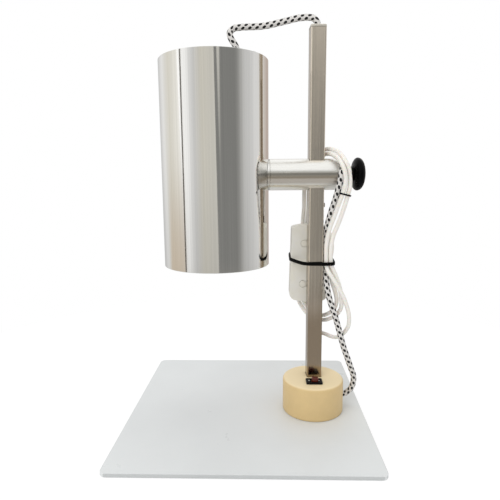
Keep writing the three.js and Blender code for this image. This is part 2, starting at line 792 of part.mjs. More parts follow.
add(box, 'terminal_block', terminals, materials.grey, [-4, boxDepth - boxWall - seatGap - 6, 0]);

// Where a cord leaves a gland of the box, in the object's frame
function boxExit(side) {
  const out = side * (boxEnd + boxGlandLength + seatGap);
  const [c, s] = [Math.cos(boxRoll), Math.sin(boxRoll)];
  return [
    boxX + c * boxGlandX + s * out,
    boxFront + boxMiddle,
    boxZ - s * boxGlandX + c * out,
  ];
}

// Cords. Each list holds the points that its route was settled by
const vector = (list) => list.map(([x, y, z]) => new THREE.Vector3(x, y, z));
const route = (list) => new THREE.CatmullRomCurve3(vector(list), false, 'centripetal');

function cord(points, diameter, sides, stepLength) {
  const curve = route(points);
  curve.arcLengthDivisions = 800;
  const corners = [];
  for (let side = 0; side < sides; side += 1) {
    const turn = (side / sides) * 4 * half;
    corners.push(new THREE.Vector2(Math.cos(turn), Math.sin(turn)).multiplyScalar(diameter / 2));
  }
  const steps = Math.round(curve.getLength() / stepLength);
  const settings = { steps, extrudePath: curve, bevelEnabled: false };
  return new THREE.ExtrudeGeometry(new THREE.Shape(corners), settings);
}

// Lamp cord: from the gland in the top plate over to the post's cap
const lampX = postX - shadeReach * Math.cos(postTurn);
const lampY = postY - shadeReach * Math.sin(postTurn);
const lampExit = [
  lampX + glandOffset * Math.cos(postTurn),
  lampY + glandOffset * Math.sin(postTurn),
  armHeight + cupTop + 7 + 2 * seatGap,
];
const lampCordPoints = [
  lampExit,
  [lampExit[0] - 0.6, lampExit[1], lampExit[2] + 7],
  [-9.8, -5, 467.5],
  [-15, -5, 476],
  [-16.8, -4, 483],
  [-12.5, -3, 488.3],
  [-2.5, -2, 490.2],
  [12.1, -1, 490.8],
  [25.9, 0, 492],
  [50.1, 1, 497],
  [64, 1, 500],
  [75, 1.1, 501],
  [82.6, 1.1, 500.4],
  [87.6, 1.2, 497],
  [postX, postY, capTop + 0.6],
  [postX, postY, capTop - 3],
  [postX, postY, capTop - braidDiameter],
];
add(lamp, 'lamp_cord', cord(lampCordPoints, braidDiameter, 8, 7), materials.braid);

// Inner cable: from the switch through the post's side and up to the cap
const innerCablePoints = [
  [switchX + 1, switchY + 5.5, cableHoleHeight - 4],
  [90, -13, cableHoleHeight - 1],
  [89.85, -9.5, cableHoleHeight],
  [89.7, -6.2, cableHoleHeight + 0.8],
  [89.5, -1.6, cableHoleHeight + 5],
  [postX, postY, cableHoleHeight + 14],
  [postX, postY, 200],
  [postX, postY, 350],
  [postX, postY, capTop - braidDiameter - seatGap],
];
add(lamp, 'post_cable', cord(innerCablePoints, innerCableDiameter, 8, 14), materials.braid);

// Supply lead: from the hub up the post's right side, over the stud and down into the box
const supplyExit = (reach) => [
  hubX + reach * Math.cos(supplyTurn),
  hubY + reach * Math.sin(supplyTurn),
  supplyHeight,
];
const supplyPoints = [
  supplyExit(hubRadius - braidDiameter - 3),
  supplyExit(hubRadius - braidDiameter + 3),
  supplyExit(hubRadius + 1),
  [131.4, 2.1, 19.4],
  [135.4, 2.5, 21.2],
  [139.2, 2, 25],
  [142.2, 1, 31.2],
  [143.4, -0.4, 39],
  [142.8, -2, 47.8],
  [139.4, -3.8, 57],
  [134.9, -6.3, 69.7],
  [127.6, -8.4, 90],
  [120.7, -9.3, 114.6],
  [114.8, -9.5, 134.5],
  [109, -9, 151.4],
  [105.6, -6.4, 166],
  [104.1, -3, 178.8],
  [103.2, 1.6, 191],
  [103, 4, 203],
  [102.9, 4, 218],
  [102.9, 1.8, 236],
  [104.5, -4.4, 251],
  [107.7, -12, 268],
  [112.3, -15, 284.3],
  [115.4, -20, 299],
  [117.2, -21.4, 308.6],
  [117.9, -21.4, 314.4],
  [119, -20.8, 318.8],
  [121, -17.9, 322.4],
  [122.8, -12.4, 325.3],
  [123.3, -4, 325.9],
  [123.2, 6, 325],
  [122.6, 15.6, 321.8],
  [119.2, 26.2, 316.8],
  [110, 31, 309],
  [101, 31, 296],
  [95.2, 27.2, 281],
  [boxExit(1)[0] + 0.3, boxExit(1)[1], boxExit(1)[2] + 7],
  boxExit(1),
];
add(lamp, 'supply_lead', cord(supplyPoints, braidDiameter, 8, 13), materials.braid);

// Mains lead: a hank of two turns over the stud, from the box to the plug
const lowExit = boxExit(-1);
const outerLoop = [
  lowExit,
  [lowExit[0] - 0.25, lowExit[1], lowExit[2] - whiteDiameter],
  [89.2, 24.4, 122.5],
  [92, 20, 110.6],
  [98.5, 15.8, 102.6],
  [107.9, 12, 99.8],
  [115, 9, 97.6],
  [121.5, 5, 98.6],
  [127.8, 0.5, 104.6],
  [131.9, -3, 111.4],
  [134.2, -6, 119.5],
  [133.7, -8.5, 132.4],
];
const firstUp = [
  [131.5, -9, 142],
  [127.8, -9.8, 152.5],
  [123.8, -10.3, 161.5],
  [115.3, -10.3, 176.2],
  [106.5, -7.8, 190],
  [104, -6.6, 196.4],
  [103.2, -6.2, 204.7],
  [102.9, -6.4, 214],
  [103, -6.9, 224],
  [104.5, -8.8, 238],
  [107.2, -12.3, 250.5],
  [110.7, -15.5, 261.5],
  [113.8, -18.5, 272],
  [116.7, -21.6, 282],
  [119.3, -24.6, 290.5],
  [121.3, -26.3, 298.5],
  [122.1, -27, 305.8],
  [121.6, -27.6, 312],
  [120.2, -27.5, 318.8],
  [117.8, -25, 325.4],
  [114.8, -18.5, 332],
  [111.5, -10, 336.1],
  [107.6, -1, 339.3],
  [103.8, 8, 340],
];
const firstDown = [
  [100.6, 14.8, 339.2],
  [96.5, 19, 336.6],
  [92.3, 22.8, 332],
  [89.1, 26.3, 323.8],
  [86.2, 27.7, 313.8],
  [83.9, 27.4, 302],
  [83.3, 26.4, 290],
  [83.3, 30, 271],
  [83.1, 36, 261],
  [83, 42, 253],
  [83.2, 43.4, 244],
  [83, 47, 232],
  [80.8, 49.6, 220],
  [76.8, 50.2, 204],
  [72.6, 47.4, 172],
  [71.4, 44.2, 153.5],
];
const middleLoop = [
  [71.5, 42.6, 148],
  [71.8, 38.8, 140.8],
  [75.4, 30.4, 134],
  [80.8, 21.2, 128.2],
  [88.4, 16, 122.4],
  [101.8, 14, 119.7],
  [107.7, 10, 121.3],
  [117.3, 4, 128.2],
  [121.3, 1, 133.5],
  [124.1, -1.5, 139.9],
];
const secondUp = [
  [124.8, -3, 146.3],
  [123.8, -4, 154.3],
  [122.1, -4.3, 167.2],
  [116.1, -4.3, 185],
  [112.6, -4.8, 192.7],
  [110, -5.4, 198.7],
  [109.1, -6, 204.6],
  [108.8, -6.4, 214],
  [109.1, -7, 224],
  [111.6, -8.8, 238],
  [115.8, -12, 250.2],
  [119.2, -15.5, 261.5],
  [122, -18.5, 272],
  [124.4, -21.4, 282],
  [125.9, -23.4, 290],
  [127.8, -23.6, 297.5],
  [128.2, -23, 305.8],
  [127.5, -22.8, 313.4],
  [126.2, -23.2, 320.9],
  [122.8, -21.6, 328.5],
  [119.2, -14, 336.2],
  [114.9, -7, 341.9],
  [109.3, 1, 345.2],
  [105.4, 7, 346],
];
const secondDown = [
  [101.4, 12.2, 345.8],
  [96, 16, 344.2],
  [90.2, 20.8, 339.4],
  [85, 24.6, 331.5],
  [80.8, 26.8, 318.3],
  [78, 27.2, 303],
  [77.2, 26.4, 290],
  [77.3, 30, 271],
  [77.2, 36, 261],
  [77.1, 42, 253],
  [77.1, 42.6, 244],
  [77.5, 42.6, 228],
  [79.2, 42.6, 204],
  [79.2, 42.6, 172],
  [77.8, 43.8, 155.5],
];
const innerLoop = [
  [77.7, 43, 149.2],
  [77.7, 40, 142.8],
  [80.6, 29.8, 136.8],
  [84.4, 21.6, 133.4],
  [88.8, 17.4, 129.2],
  [101.7, 14, 126.2],
  [107.4, 9, 129.1],
  [111.9, 5.5, 133],
  [116.1, 3, 138.1],
  [118.3, 1.5, 144.2],
];
const toPlug = [
  [118.9, 1, 150.4],
  [117.5, 1.2, 159.1],
  [112.7, 2, 174.3],
  [110.6, 2.2, 185],
  [109.7, 2.2, 195],
  [109.8, 3, 205],
  [111.9, 8, 213],
  [113.8, 17, 220],
  [114.4, 28, 227],
  [113.6, 38, 234],
  [109.6, 45.6, 238.4],
  [103.6, 48.6, 239.6],
  [99.8, 48.8, 236],
  [plugX, plugY, plugTop + 8 + whiteDiameter],
  [plugX, plugY, plugTop + 8 + seatGap],
];
const hankPoints = [
  ...outerLoop, ...firstUp, ...firstDown, ...middleLoop, ...secondUp, ...secondDown,
  ...innerLoop, ...toPlug,
];

// A tube whose rings follow the points of its route, so that bends get the most of them
function woundTube(points, diameter, sides, ringsPerPoint) {
  const curve = route(points);
  const rings = Math.round((points.length - 1) * ringsPerPoint);
  const centres = [];
  for (let ring = 0; ring <= rings; ring += 1) centres.push(curve.getPoint(ring / rings));
  const positions = [];
  const index = [];
  const normal = new THREE.Vector3(1, 0, 0);
  centres.forEach((centre, ring) => {
    const before = centres[Math.max(ring - 1, 0)];
    const after = centres[Math.min(ring + 1, rings)];
    const along = new THREE.Vector3().subVectors(after, before).normalize();
    normal.addScaledVector(along, -normal.dot(along)).normalize();
    const across = new THREE.Vector3().crossVectors(along, normal);
    for (let side = 0; side < sides; side += 1) {
      const turn = (side / sides) * 4 * half;
      const corner = centre.clone()
        .addScaledVector(normal, (Math.cos(turn) * diameter) / 2)
        .addScaledVector(across, (Math.sin(turn) * diameter) / 2);
      positions.push(corner.x, corner.y, corner.z);
      if (ring === rings) continue;
      const [here, next] = [ring * sides, ring * sides + sides];
      const beside = (side + 1) % sides;
      index.push(here + side, here + beside, next + beside);
      index.push(here + side, next + beside, next + side);
    }
  });
  for (let side = 1; side < sides - 1; side += 1) {
    index.push(0, side + 1, side);
    const last = rings * sides;
    index.push(last, last + side, last + side + 1);
  }
  const geometry = new THREE.BufferGeometry();
  geometry.setAttribute('position', new THREE.Float32BufferAttribute(positions, 3));
  geometry.setIndex(index);
  return { geometry, centres };
}

// Least gap of a tube to itself, measured between points that lie far apart along it
function leastGap(centres, diameter, skip) {
  let least = Infinity;
  const fine = new THREE.CatmullRomCurve3(centres, false, 'centripetal');
  const count = centres.length * 4;
  const points = fine.getPoints(count);
  const along = [0];
  for (let i = 1; i <= count; i += 1) along.push(along[i - 1] + points[i].distanceTo(points[i - 1]));
  for (let i = 0; i <= count; i += 1) {
    for (let j = i + 1; j <= count; j += 1) {
      if (along[j] - along[i] < skip) continue;
      least = Math.min(least, points[i].distanceTo(points[j]));
    }
  }
  return { gap: least - diameter, length: along[count] };
}
const hank = woundTube(hankPoints, whiteDiameter, 6, 1.5);
const measured = leastGap(hank.centres, whiteDiameter, 25);
console.log(`hank: least gap to itself ${measured.gap.toFixed(2)} mm`);
console.log(`hank: length ${measured.length.toFixed(0)} mm`);
add(bundle, 'mains_lead', hank.geometry, materials.white);

// Mains plug at the hank's end, hidden behind the box
const plugBody = new THREE.ExtrudeGeometry(
  roundedRectangle(plugWidth - 3, plugDepth - 3, 5),
  {
    depth: plugLength - 3,
    bevelThickness: 1.5,
    bevelSize: 1.5,
    bevelSegments: 2,
    curveSegments: 4,
  },
).translate(0, 0, -plugLength + 1.5);
const plugRelief = turned([
  [0, -1], [5, -1], [4.2, 8], [0, 8],
], 20);
const blade = (side) => block(bladeThickness, bladeWidth, -plugLength - bladeLength, -plugLength + 2)
  .translate(side * bladeSpacing / 2, 0, 0);
const plug = join(plugBody, plugRelief, blade(-1), blade(1));
add(bundle, 'mains_plug', plug, materials.white, [plugX, plugY, plugTop]);

// Ties: a band drawn taut round circles, as the convex outline of points on them
function tautOutline(circles, clearance) {
  const points = [];
  for (const [x, y, radius] of circles) {
    for (let step = 0; step < 16; step += 1) {
      const turn = (step / 16) * 4 * half;
      points.push(new THREE.Vector2(
        x + (radius + clearance) * Math.cos(turn),
        y + (radius + clearance) * Math.sin(turn),
      ));
    }
  }
  points.sort((a, b) => a.x - b.x || a.y - b.y);
  const turnsLeft = (a, b, c) => (b.x - a.x) * (c.y - a.y) - (b.y - a.y) * (c.x - a.x) > 1e-9;
  const chain = (list) => list.reduce((kept, point) => {
    while (kept.length > 1 && !turnsLeft(kept.at(-2), kept.at(-1), point)) kept.pop();
    return [...kept, point];
  }, []);
  const lower = chain(points);
  const upper = chain([...points].reverse());
  return [...lower.slice(0, -1), ...upper.slice(0, -1)];
}
function band(circles, clearance, thickness, width) {
  const shape = new THREE.Shape(tautOutline(circles, clearance + thickness));
  shape.holes.push(new THREE.Path(tautOutline(circles, clearance)));
  return prism(shape, -width / 2, width / 2);
}
const tieY = postY - postWidth / 2;
const tie = group(bundle, 0, tieY, tieHeight);
tie.rotation.x = tieTilt;
const postEdge = postWidth / 2 - postCorner;
const tieCircle = (x, y, radius) => [x, (y - tieY) / Math.cos(tieTilt), radius];
const postCornerRound = (side) => {
  const [c, s] = [Math.cos(postTurn), Math.sin(postTurn)];
  const x = postX + side * postEdge * c + postEdge * s;
  return tieCircle(x, postY + side * postEdge * s - postEdge * c, postCorner);
};
const tieRound = [
  postCornerRound(-1),
  postCornerRound(1),
  tieCircle(103.6, -6.6, whiteDiameter / 2),
  tieCircle(109.7, -5.9, whiteDiameter / 2),
  tieCircle(109.9, 3, whiteDiameter / 2),
  tieCircle(boxX - boxWidth / 2 + 3.2, boxFront + 3, 3),
  tieCircle(boxX - boxWidth / 2 + 3.6, boxFront + boxDepth - 2.6, 3),
  tieCircle(78.6, 50, whiteDiameter / 2 + 0.2),
  tieCircle(plugX + plugWidth / 2 - 5, plugY + plugDepth / 2 - 5, 5),
  tieCircle(plugX - plugWidth / 2 + 5, plugY + plugDepth / 2 - 5, 5),
];
add(tie, 'tie_big', band(tieRound, 0.5, tieThickness, tieWidth), materials.black);

const thinTie = group(bundle, ...thinTiePlace);
thinTie.quaternion.setFromUnitVectors(
  new THREE.Vector3(0, 0, 1), new THREE.Vector3(...thinTieNormal).normalize(),
);
const thinRound = [-1, 1].map((side) => [
  side * thinTieSpread, side * 0.5, whiteDiameter / 2,
]);
add(thinTie, 'tie_thin', band(thinRound, 0.5, thinTieThickness, thinTieWidth), materials.black);

export default lamp;
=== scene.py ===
"""Infrared heat therapy lamp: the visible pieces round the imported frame.

Metres, +Z up, X to the right, Y away from the viewer, origin at the centre of the plate's
underside. What makes or cuts a mesh takes millimetres.
"""

import math

import bmesh
import bpy
from mathutils import Matrix, Vector


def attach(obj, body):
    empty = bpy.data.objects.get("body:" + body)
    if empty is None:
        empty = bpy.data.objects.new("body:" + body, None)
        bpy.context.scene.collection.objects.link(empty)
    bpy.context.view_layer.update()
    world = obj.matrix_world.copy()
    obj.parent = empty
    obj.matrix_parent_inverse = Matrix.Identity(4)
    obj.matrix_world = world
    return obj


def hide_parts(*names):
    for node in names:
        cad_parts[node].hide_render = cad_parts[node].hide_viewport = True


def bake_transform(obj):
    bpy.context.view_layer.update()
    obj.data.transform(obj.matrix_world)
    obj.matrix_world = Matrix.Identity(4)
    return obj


bl_info = {
    "name": "Infrared Heat Therapy Lamp",
    "version": (1, 0, 0),
    "blender": (4, 5, 0),
    "location": "View3D > Sidebar > Heat Lamp",
    "description": "Builds the visible pieces of a heat therapy lamp on a square post",
    "category": "Add Mesh",
}

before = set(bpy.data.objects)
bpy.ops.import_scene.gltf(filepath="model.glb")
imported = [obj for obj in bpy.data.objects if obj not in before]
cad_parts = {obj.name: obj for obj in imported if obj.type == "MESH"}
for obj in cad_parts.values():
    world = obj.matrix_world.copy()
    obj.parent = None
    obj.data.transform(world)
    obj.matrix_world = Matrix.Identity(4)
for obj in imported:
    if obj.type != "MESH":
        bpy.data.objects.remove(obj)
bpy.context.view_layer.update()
MM = 0.001

# Places and sizes that several pieces share, as the frame has them
POST_TURN = math.radians(3)
POST_X, POST_Y = 0.0893, 0.0012
POST_WIDTH = 0.01905
POST_FOOT = 4.6
POST_CORNER = 1.8
POST_WAY = 19.85
STOP_HEIGHT = 275.7
ARM_HEIGHT = 0.3143
ARM_LEFT, ARM_RIGHT = -59, 25.9
SHADE_REACH = 0.1266
SHADE_LOW, SHADE_HIGH = -112.8, 135.7
HUB_X, HUB_Y = 0.0879, -0.0073
HUB_TOP = 0.0474
HUB_SCREW_CIRCLE = 32
GLAND_HEIGHT, GLAND_TURN = 0.0189, math.radians(12)
CABLE_HEIGHT = 0.022
SWITCH_Y = -0.0237
BOX_CENTRE = Vector((0.084, 0.0122, 0.197))
BOX_ROLL = math.radians(1.7)
BOX_BOW = 4.2
BRAID_DIAMETER = 0.0076

ON_POST = Matrix.Translation((POST_X, POST_Y, 0)) @ Matrix.Rotation(POST_TURN, 4, "Z")
ON_ARM = ON_POST @ Matrix.Translation((0, 0, ARM_HEIGHT))
ON_HEAD = ON_ARM @ Matrix.Translation((-SHADE_REACH, 0, 0))
ON_HUB = Matrix.Translation((HUB_X, HUB_Y, 0))
ON_SWITCH = Matrix.Translation((HUB_X, SWITCH_Y, HUB_TOP + 0.0003))
ON_BOX = Matrix.Translation(BOX_CENTRE) @ Matrix.Rotation(BOX_ROLL, 4, "Y")
ALONG_X = Matrix.Rotation(math.pi / 2, 4, "Y")
ALONG_Y = Matrix.Rotation(math.pi / 2, 4, "X")

HUB_SCREWS = [
    (
        HUB_X / MM + HUB_SCREW_CIRCLE * math.cos(math.radians(angle)),
        HUB_Y / MM + HUB_SCREW_CIRCLE * math.sin(math.radians(angle)),
    )
    for angle in (150, -35)
]


# Meshes


def turned(profile, segments=96, along=None):
    """A closed body turned round Z from (radius, height) pairs."""
    bm = bmesh.new()
    row = [bm.verts.new((radius * MM, 0, height * MM)) for radius, height in profile]
    edges = [bm.edges.new(pair) for pair in zip(row, row[1:])]
    bmesh.ops.spin(
        bm, geom=row + edges, cent=(0, 0, 0), axis=(0, 0, 1), dvec=(0, 0, 0),
        angle=math.tau, steps=segments, use_merge=True,
    )
    bmesh.ops.remove_doubles(bm, verts=bm.verts, dist=1e-7)
    bmesh.ops.recalc_face_normals(bm, faces=bm.faces)
    if along is not None:
        bm.transform(along)
    return bm


def tube(outer, bore, low, high, edge=0.3, segments=96, along=None):
    """A turned ring with small rounds on its four rims."""
    return turned([
        (bore, low + edge), (bore + edge, low), (outer - edge, low), (outer, low + edge),
        (outer, high - edge), (outer - edge, high), (bore + edge, high), (bore, high - edge),
        (bore, low + edge),
    ], segments, along)


def disc(radius, low, high, edge=0.1, segments=48, along=None):
    """A solid turned disc with rounded rims."""
    return turned([
        (0, low), (radius - edge, low), (radius, low + edge), (radius, high - edge),
        (radius - edge, high), (0, high),
    ], segments, along)


def box(width, depth, low, high, centre=(0, 0)):
    """A box from a height to another."""
    bm = bmesh.new()
    bmesh.ops.create_cube(bm, size=MM)
    bmesh.ops.scale(bm, verts=bm.verts, vec=(width, depth, high - low))
    return shifted(bm, *centre, (low + high) / 2)


def shifted(bm, x, y, z=0.0):
    """Moves a mesh."""
    bmesh.ops.translate(bm, verts=bm.verts, vec=(x * MM, y * MM, z * MM))
    return bm


def rounded(bm, edges, offset, segments, clamp=True):
    """Rounds the given edges of a mesh."""
    bmesh.ops.bevel(
        bm, geom=edges, offset=offset * MM, segments=segments, profile=0.5,
        affect="EDGES", material=-1, clamp_overlap=clamp,
    )
    return bm


def upright(bm):
    """The edges of a mesh that stand along Z."""
    return [e for e in bm.edges if abs((e.verts[0].co - e.verts[1].co).normalized().z) > 0.99]


def rim(bm, height):
    """The edges of a mesh that lie at a height."""
    return [e for e in bm.edges if all(abs(v.co.z - height * MM) < 1e-6 for v in e.verts)]


def creases(edges, least):
    """Those of the edges whose two faces turn by more than an angle."""
    return [e for e in edges if e.is_manifold and e.calc_face_angle(0) > least]


def sliced(bm, point, normal, **clear):
    """Cuts a mesh along a plane through a point in metres."""
    bmesh.ops.bisect_plane(
        bm, geom=[*bm.verts, *bm.edges, *bm.faces], plane_co=point, plane_no=normal, **clear,
    )


def rounded_block(width, depth, low, high, corner, edge, centre=(0, 0), steps=8, bottom=True):
    """A box with rounded upright corners and softer rims."""
    bm = box(width, depth, low, high, centre)
    rounded(bm, upright(bm), corner, steps)
    rounded(bm, rim(bm, high), edge, 3)
    if bottom:
        rounded(bm, rim(bm, low), edge, 3)
    return bm


def join(bm, other):
    """Adds another mesh to the first one."""
    scrap = bpy.data.meshes.new("scrap")
    other.to_mesh(scrap)
    other.free()
    bm.from_mesh(scrap)
    bpy.data.meshes.remove(scrap)
    return bm


def linked(name, data):
    """An object of the scene for a mesh or a curve."""
    made = bpy.data.objects.new(name, data)
    bpy.context.scene.collection.objects.link(made)
    return made


def object_of(name, bm):
    """A linked object from a bmesh."""
    mesh = bpy.data.meshes.new(name)
    bm.to_mesh(mesh)
    bm.free()
    return linked(name, mesh)


def bored(bm, *cutters):
    """Cuts other meshes out of one, and gives the result as a bmesh again."""
    body = object_of("bored_body", bm)
    spare = [body]
    for cutter in cutters:
        spare.append(object_of("bored_tool", cutter))
        change = body.modifiers.new("bore", "BOOLEAN")
        change.operation = "DIFFERENCE"
        change.solver = "EXACT"
        change.object = spare[-1]
    graph = bpy.context.evaluated_depsgraph_get()
    mesh = bpy.data.meshes.new_from_object(body.evaluated_get(graph))
    result = bmesh.new()
    result.from_mesh(mesh)
    for old in spare:
        data = old.data
        bpy.data.objects.remove(old)
        bpy.data.meshes.remove(data)
    bpy.data.meshes.remove(mesh)
    bmesh.ops.remove_doubles(result, verts=result.verts, dist=1e-6)
    bmesh.ops.dissolve_degenerate(result, edges=result.edges, dist=1e-6)
    return result


def piece(name, bm, look, body, node=None, place=None, level=False, sharp=32):
    """Turns a mesh into a finished piece that rides on a body. Level ones have flat faces."""
    if place is not None:
        bm.transform(place)
    for face in bm.faces:
        face.smooth = True
    for edge in bm.edges:
        edge.smooth = edge.is_manifold and edge.calc_face_angle(0) < math.radians(sharp)
    made = object_of(name, bm)
    made.data.materials.append(finish(look))
    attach(made, body)
    if node:
        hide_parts(node)
    if level:
        made.modifiers.new("level_shading", "WEIGHTED_NORMAL").keep_sharp = True
    return made


def softened(node, body, look, edge):
    """A merged copy of a CAD node with its sharp edges rounded a little."""
    bm = bmesh.new()
    bm.from_mesh(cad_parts[node].data)
    bmesh.ops.remove_doubles(bm, verts=bm.verts, dist=1e-6)
    bmesh.ops.dissolve_limit(bm, angle_limit=math.radians(1), verts=bm.verts, edges=bm.edges)
    rounded(bm, creases(bm.edges, math.radians(40)), edge, 2)
    return piece(node + "_made", bm, look, body, node)


def dress(look, *nodes):
    """Gives carried-over CAD nodes their finish."""
    for node in nodes:
        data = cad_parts[node].data
        if data.materials:
            data.materials[0] = finish(look)
        else:
            data.materials.append(finish(look))


# Routes of the cords


def between(a, b, c, d, share):
    """A point of a centripetal curve between b and c."""
    times = [0.0]
    for one, two in ((a, b), (b, c), (c, d)):
        times.append(times[-1] + max((two - one).length, 1e-9) ** 0.5)
    t = times[1] + share * (times[2] - times[1])

    def mix(p, q, low, high):
        return p + (q - p) * ((t - times[low]) / (times[high] - times[low]))

    one, two, three = mix(a, b, 0, 1), mix(b, c, 1, 2), mix(c, d, 2, 3)
    return mix(mix(one, two, 0, 2), mix(two, three, 1, 3), 1, 2)


def route(points, step):
    """Evenly spaced points, in metres, along a smooth curve through points in millimetres."""
    knots = [Vector(p) * MM for p in points]
    knots = [knots[0] * 2 - knots[1], *knots, knots[-1] * 2 - knots[-2]]
    fine = []
    for four in zip(knots, knots[1:], knots[2:], knots[3:]):
        fine += [between(*four, share / 16) for share in range(16)]
    fine.append(knots[-2])
    return evenly(fine, step)


def evenly(line, step):
    """The same line with points a step apart."""
    along = [0.0]
    for one, two in zip(line, line[1:]):
        along.append(along[-1] + (two - one).length)
    count = max(2, round(along[-1] / step))
    spaced, at = [], 0
    for number in range(count + 1):
        target = along[-1] * number / count
        while at < len(line) - 2 and along[at + 1] < target:
            at += 1
        span = max(along[at + 1] - along[at], 1e-12)
        spaced.append(line[at].lerp(line[at + 1], (target - along[at]) / span))
    return spaced


def length_of(line):
    """The length of a line of points."""
    return sum((two - one).length for one, two in zip(line, line[1:]))


def section(line, start, end):
    """The stretch of a line between two lengths along it."""
    kept, along = [], 0.0
    for one, two in zip(line, line[1:]):
        if start <= along <= end:
            kept.append(one)
        along += (two - one).length
    return kept


def cord_curve(name, line, diameter, look, widths=None):
    """A round cord as a curve of one open spline."""
    curve = bpy.data.curves.new(name, "CURVE")
    curve.dimensions = "3D"
    curve.bevel_depth = diameter / 2
    curve.bevel_resolution = 6
    curve.use_fill_caps = True
    spline = curve.splines.new("POLY")
    spline.points.add(len(line) - 1)
    spline.use_smooth = True
    for number, (point, co) in enumerate(zip(spline.points, line)):
        point.co = (*co, 1)
        if widths:
            point.radius = widths[number]
    curve.materials.append(finish(look))
    return linked(name, curve)


def cord_mesh(name, line, diameter, look, widths=None):
    """A round cord as a mesh. Its UV map has metres along the cord and the share of a turn."""
    curve = cord_curve(name + "_line", line, diameter, look, widths)
    mesh = bpy.data.meshes.new_from_object(curve)
    data = curve.data
    bpy.data.objects.remove(curve)
    bpy.data.curves.remove(data)
    mesh.name = name
    long = length_of(line)
    for corner in mesh.uv_layers[0].data:
        corner.uv[0] *= long
    for face in mesh.polygons:
        face.use_smooth = len(face.vertices) == 4
    return linked(name, mesh)


def spread(low, high, steps):
    """Evenly spaced numbers from the first to the last."""
    return [low + (high - low) * step / steps for step in range(steps + 1)]


# Materials


def linear(red, green, blue):
    """An 8-bit screen colour as the linear one that Blender wants."""

    def one(value):
        value /= 255
        return value / 12.92 if value <= 0.04045 else ((value + 0.055) / 1.055) ** 2.4

    return tuple(one(value) for value in (red, green, blue))


def scaled(colour, factor):
    """A colour times a factor, or times three of them."""
    factors = factor if isinstance(factor, tuple) else (factor,) * 3
    return tuple(min(1.0, part * by) for part, by in zip(colour, factors))


class Nodes:
    """Short ways to add linked nodes to a tree."""

    def __init__(self, tree):
        self.tree = tree
        self.body = None

    def put(self, socket, value):
        """Links a value to a socket, or sets it there. A colour gets its alpha."""
        if isinstance(value, bpy.types.NodeSocket):
            self.tree.links.new(value, socket)
        else:
            socket.default_value = (*value[:3], 1) if socket.type == "RGBA" else value

    def node(self, kind, values=(), **settings):
        """A shader node with its settings and its inputs, by their names or numbers."""
        made = self.tree.nodes.new("ShaderNode" + kind)
        for key, value in settings.items():
            setattr(made, key, value)
        for key, value in dict(values).items():
            self.put(made.inputs[key], value)
        return made

    def math(self, operation, *values):
        return self.node("Math", enumerate(values), operation=operation).outputs[0]

    def remap(self, value, low, high, to_low=0, to_high=1, smooth=False):
        kind = "SMOOTHSTEP" if smooth else "LINEAR"
        values = enumerate((value, low, high, to_low, to_high))
        return self.node("MapRange", values, interpolation_type=kind).outputs[0]

    def both(self, one, two, share):
        """A share of one value and the rest of another."""
        parts = (self.math("MULTIPLY", one, share), self.math("MULTIPLY", two, 1 - share))
        return self.math("ADD", *parts)

    def parts(self, vector):
        """The three numbers of a vector."""
        return self.node("SeparateXYZ", {0: vector}).outputs

    def tint(self, share, one, two):
        """A colour between two, by a share."""
        return self.node("Mix", {0: share, 6: one, 7: two}, data_type="RGBA").outputs[2]

    def coat(self, share, colour):
        """Tints the colour so far towards another."""
        self.body = self.tint(share, self.body, colour)

    def ramp(self, value, low, high, stops):
        """Colours by a value between two numbers, from stops with 8-bit greys or colours."""
        made = self.node("ValToRGB", {0: self.remap(value, low, high)})
        points = made.color_ramp.elements
        while len(points) < len(stops):
            points.new(0.5)
        for point, (at, shade) in zip(points, stops):
            point.position = (at - low) / (high - low)
            point.color = (*linear(*(shade if isinstance(shade, tuple) else (shade,) * 3)), 1)
        return made.outputs[0]

    def mixed(self, share, one, two):
        """A shader between two, by a share."""
        return self.node("MixShader", {0: share, 1: one, 2: two}).outputs[0]


class Finish(Nodes):
    """A Principled material with a few nodes for what varies over its surface."""

    def __init__(self, name, colour, roughness, metallic=0.0, **sockets):
        self.material = bpy.data.materials.new(name)
        self.material.use_nodes = True
        self.material.diffuse_color = (*colour, 1)
        super().__init__(self.material.node_tree)
        self.shader = self.tree.nodes["Principled BSDF"]
        self.body = colour
        self.at = self.place()
        self.set("Base Color", colour)
        self.set("Roughness", roughness)
        self.set("Metallic", metallic)
        for key, value in sockets.items():
            self.set(key.replace("_", " "), value)

    def set(self, socket, value):
        self.put(self.shader.inputs[socket], value)

    def place(self, scale=(1, 1, 1), turn=0.0):
        """Object coordinates, turned about Z and scaled."""
        at = self.node("TexCoord").outputs["Object"]
        values = {"Vector": at, "Rotation": (0, 0, turn), "Scale": scale}
        return self.node("Mapping", values).outputs["Vector"]

    def facing(self):
        """The three parts of the direction that the surface faces."""
        return self.parts(self.node("NewGeometry").outputs["Normal"])

    def noise(self, scale, detail=3.0, rough=0.5, turn=0.0):
        """Noise over the surface, in streaks where the scale has three numbers."""
        at = self.at
        if isinstance(scale, tuple):
            at, scale = self.place(scale, turn), 1
        values = {"Vector": at, "Scale": scale, "Detail": detail, "Roughness": rough}
        return self.node("TexNoise", values).outputs[0]

    def layer(self, noise, low, high, most, colour):
        """Tints the colour so far where a noise is high."""
        self.coat(self.remap(self.noise(*noise), low, high, 0, most), colour)

    def relief(self, height, depth, strength=1.0, under=None):
        """Raises the surface by a height, over another relief if there is one."""
        values = {"Height": height, "Distance": depth, "Strength": strength}
        if under is not None:
            values["Normal"] = under
        normal = self.node("Bump", values).outputs["Normal"]
        self.set("Normal", normal)
        return normal

    def done(self, gloss=None, grain=None):
        """Sets the colour and, from noises, the gloss and the grain. Gives the material."""
        self.set("Base Color", self.body)
        if gloss:
            noise, *levels = gloss
            self.set("Roughness", self.remap(self.noise(*noise), *levels))
        if grain:
            noise, depth, strength = grain
            self.relief(self.noise(*noise), depth, strength)
        return self.material


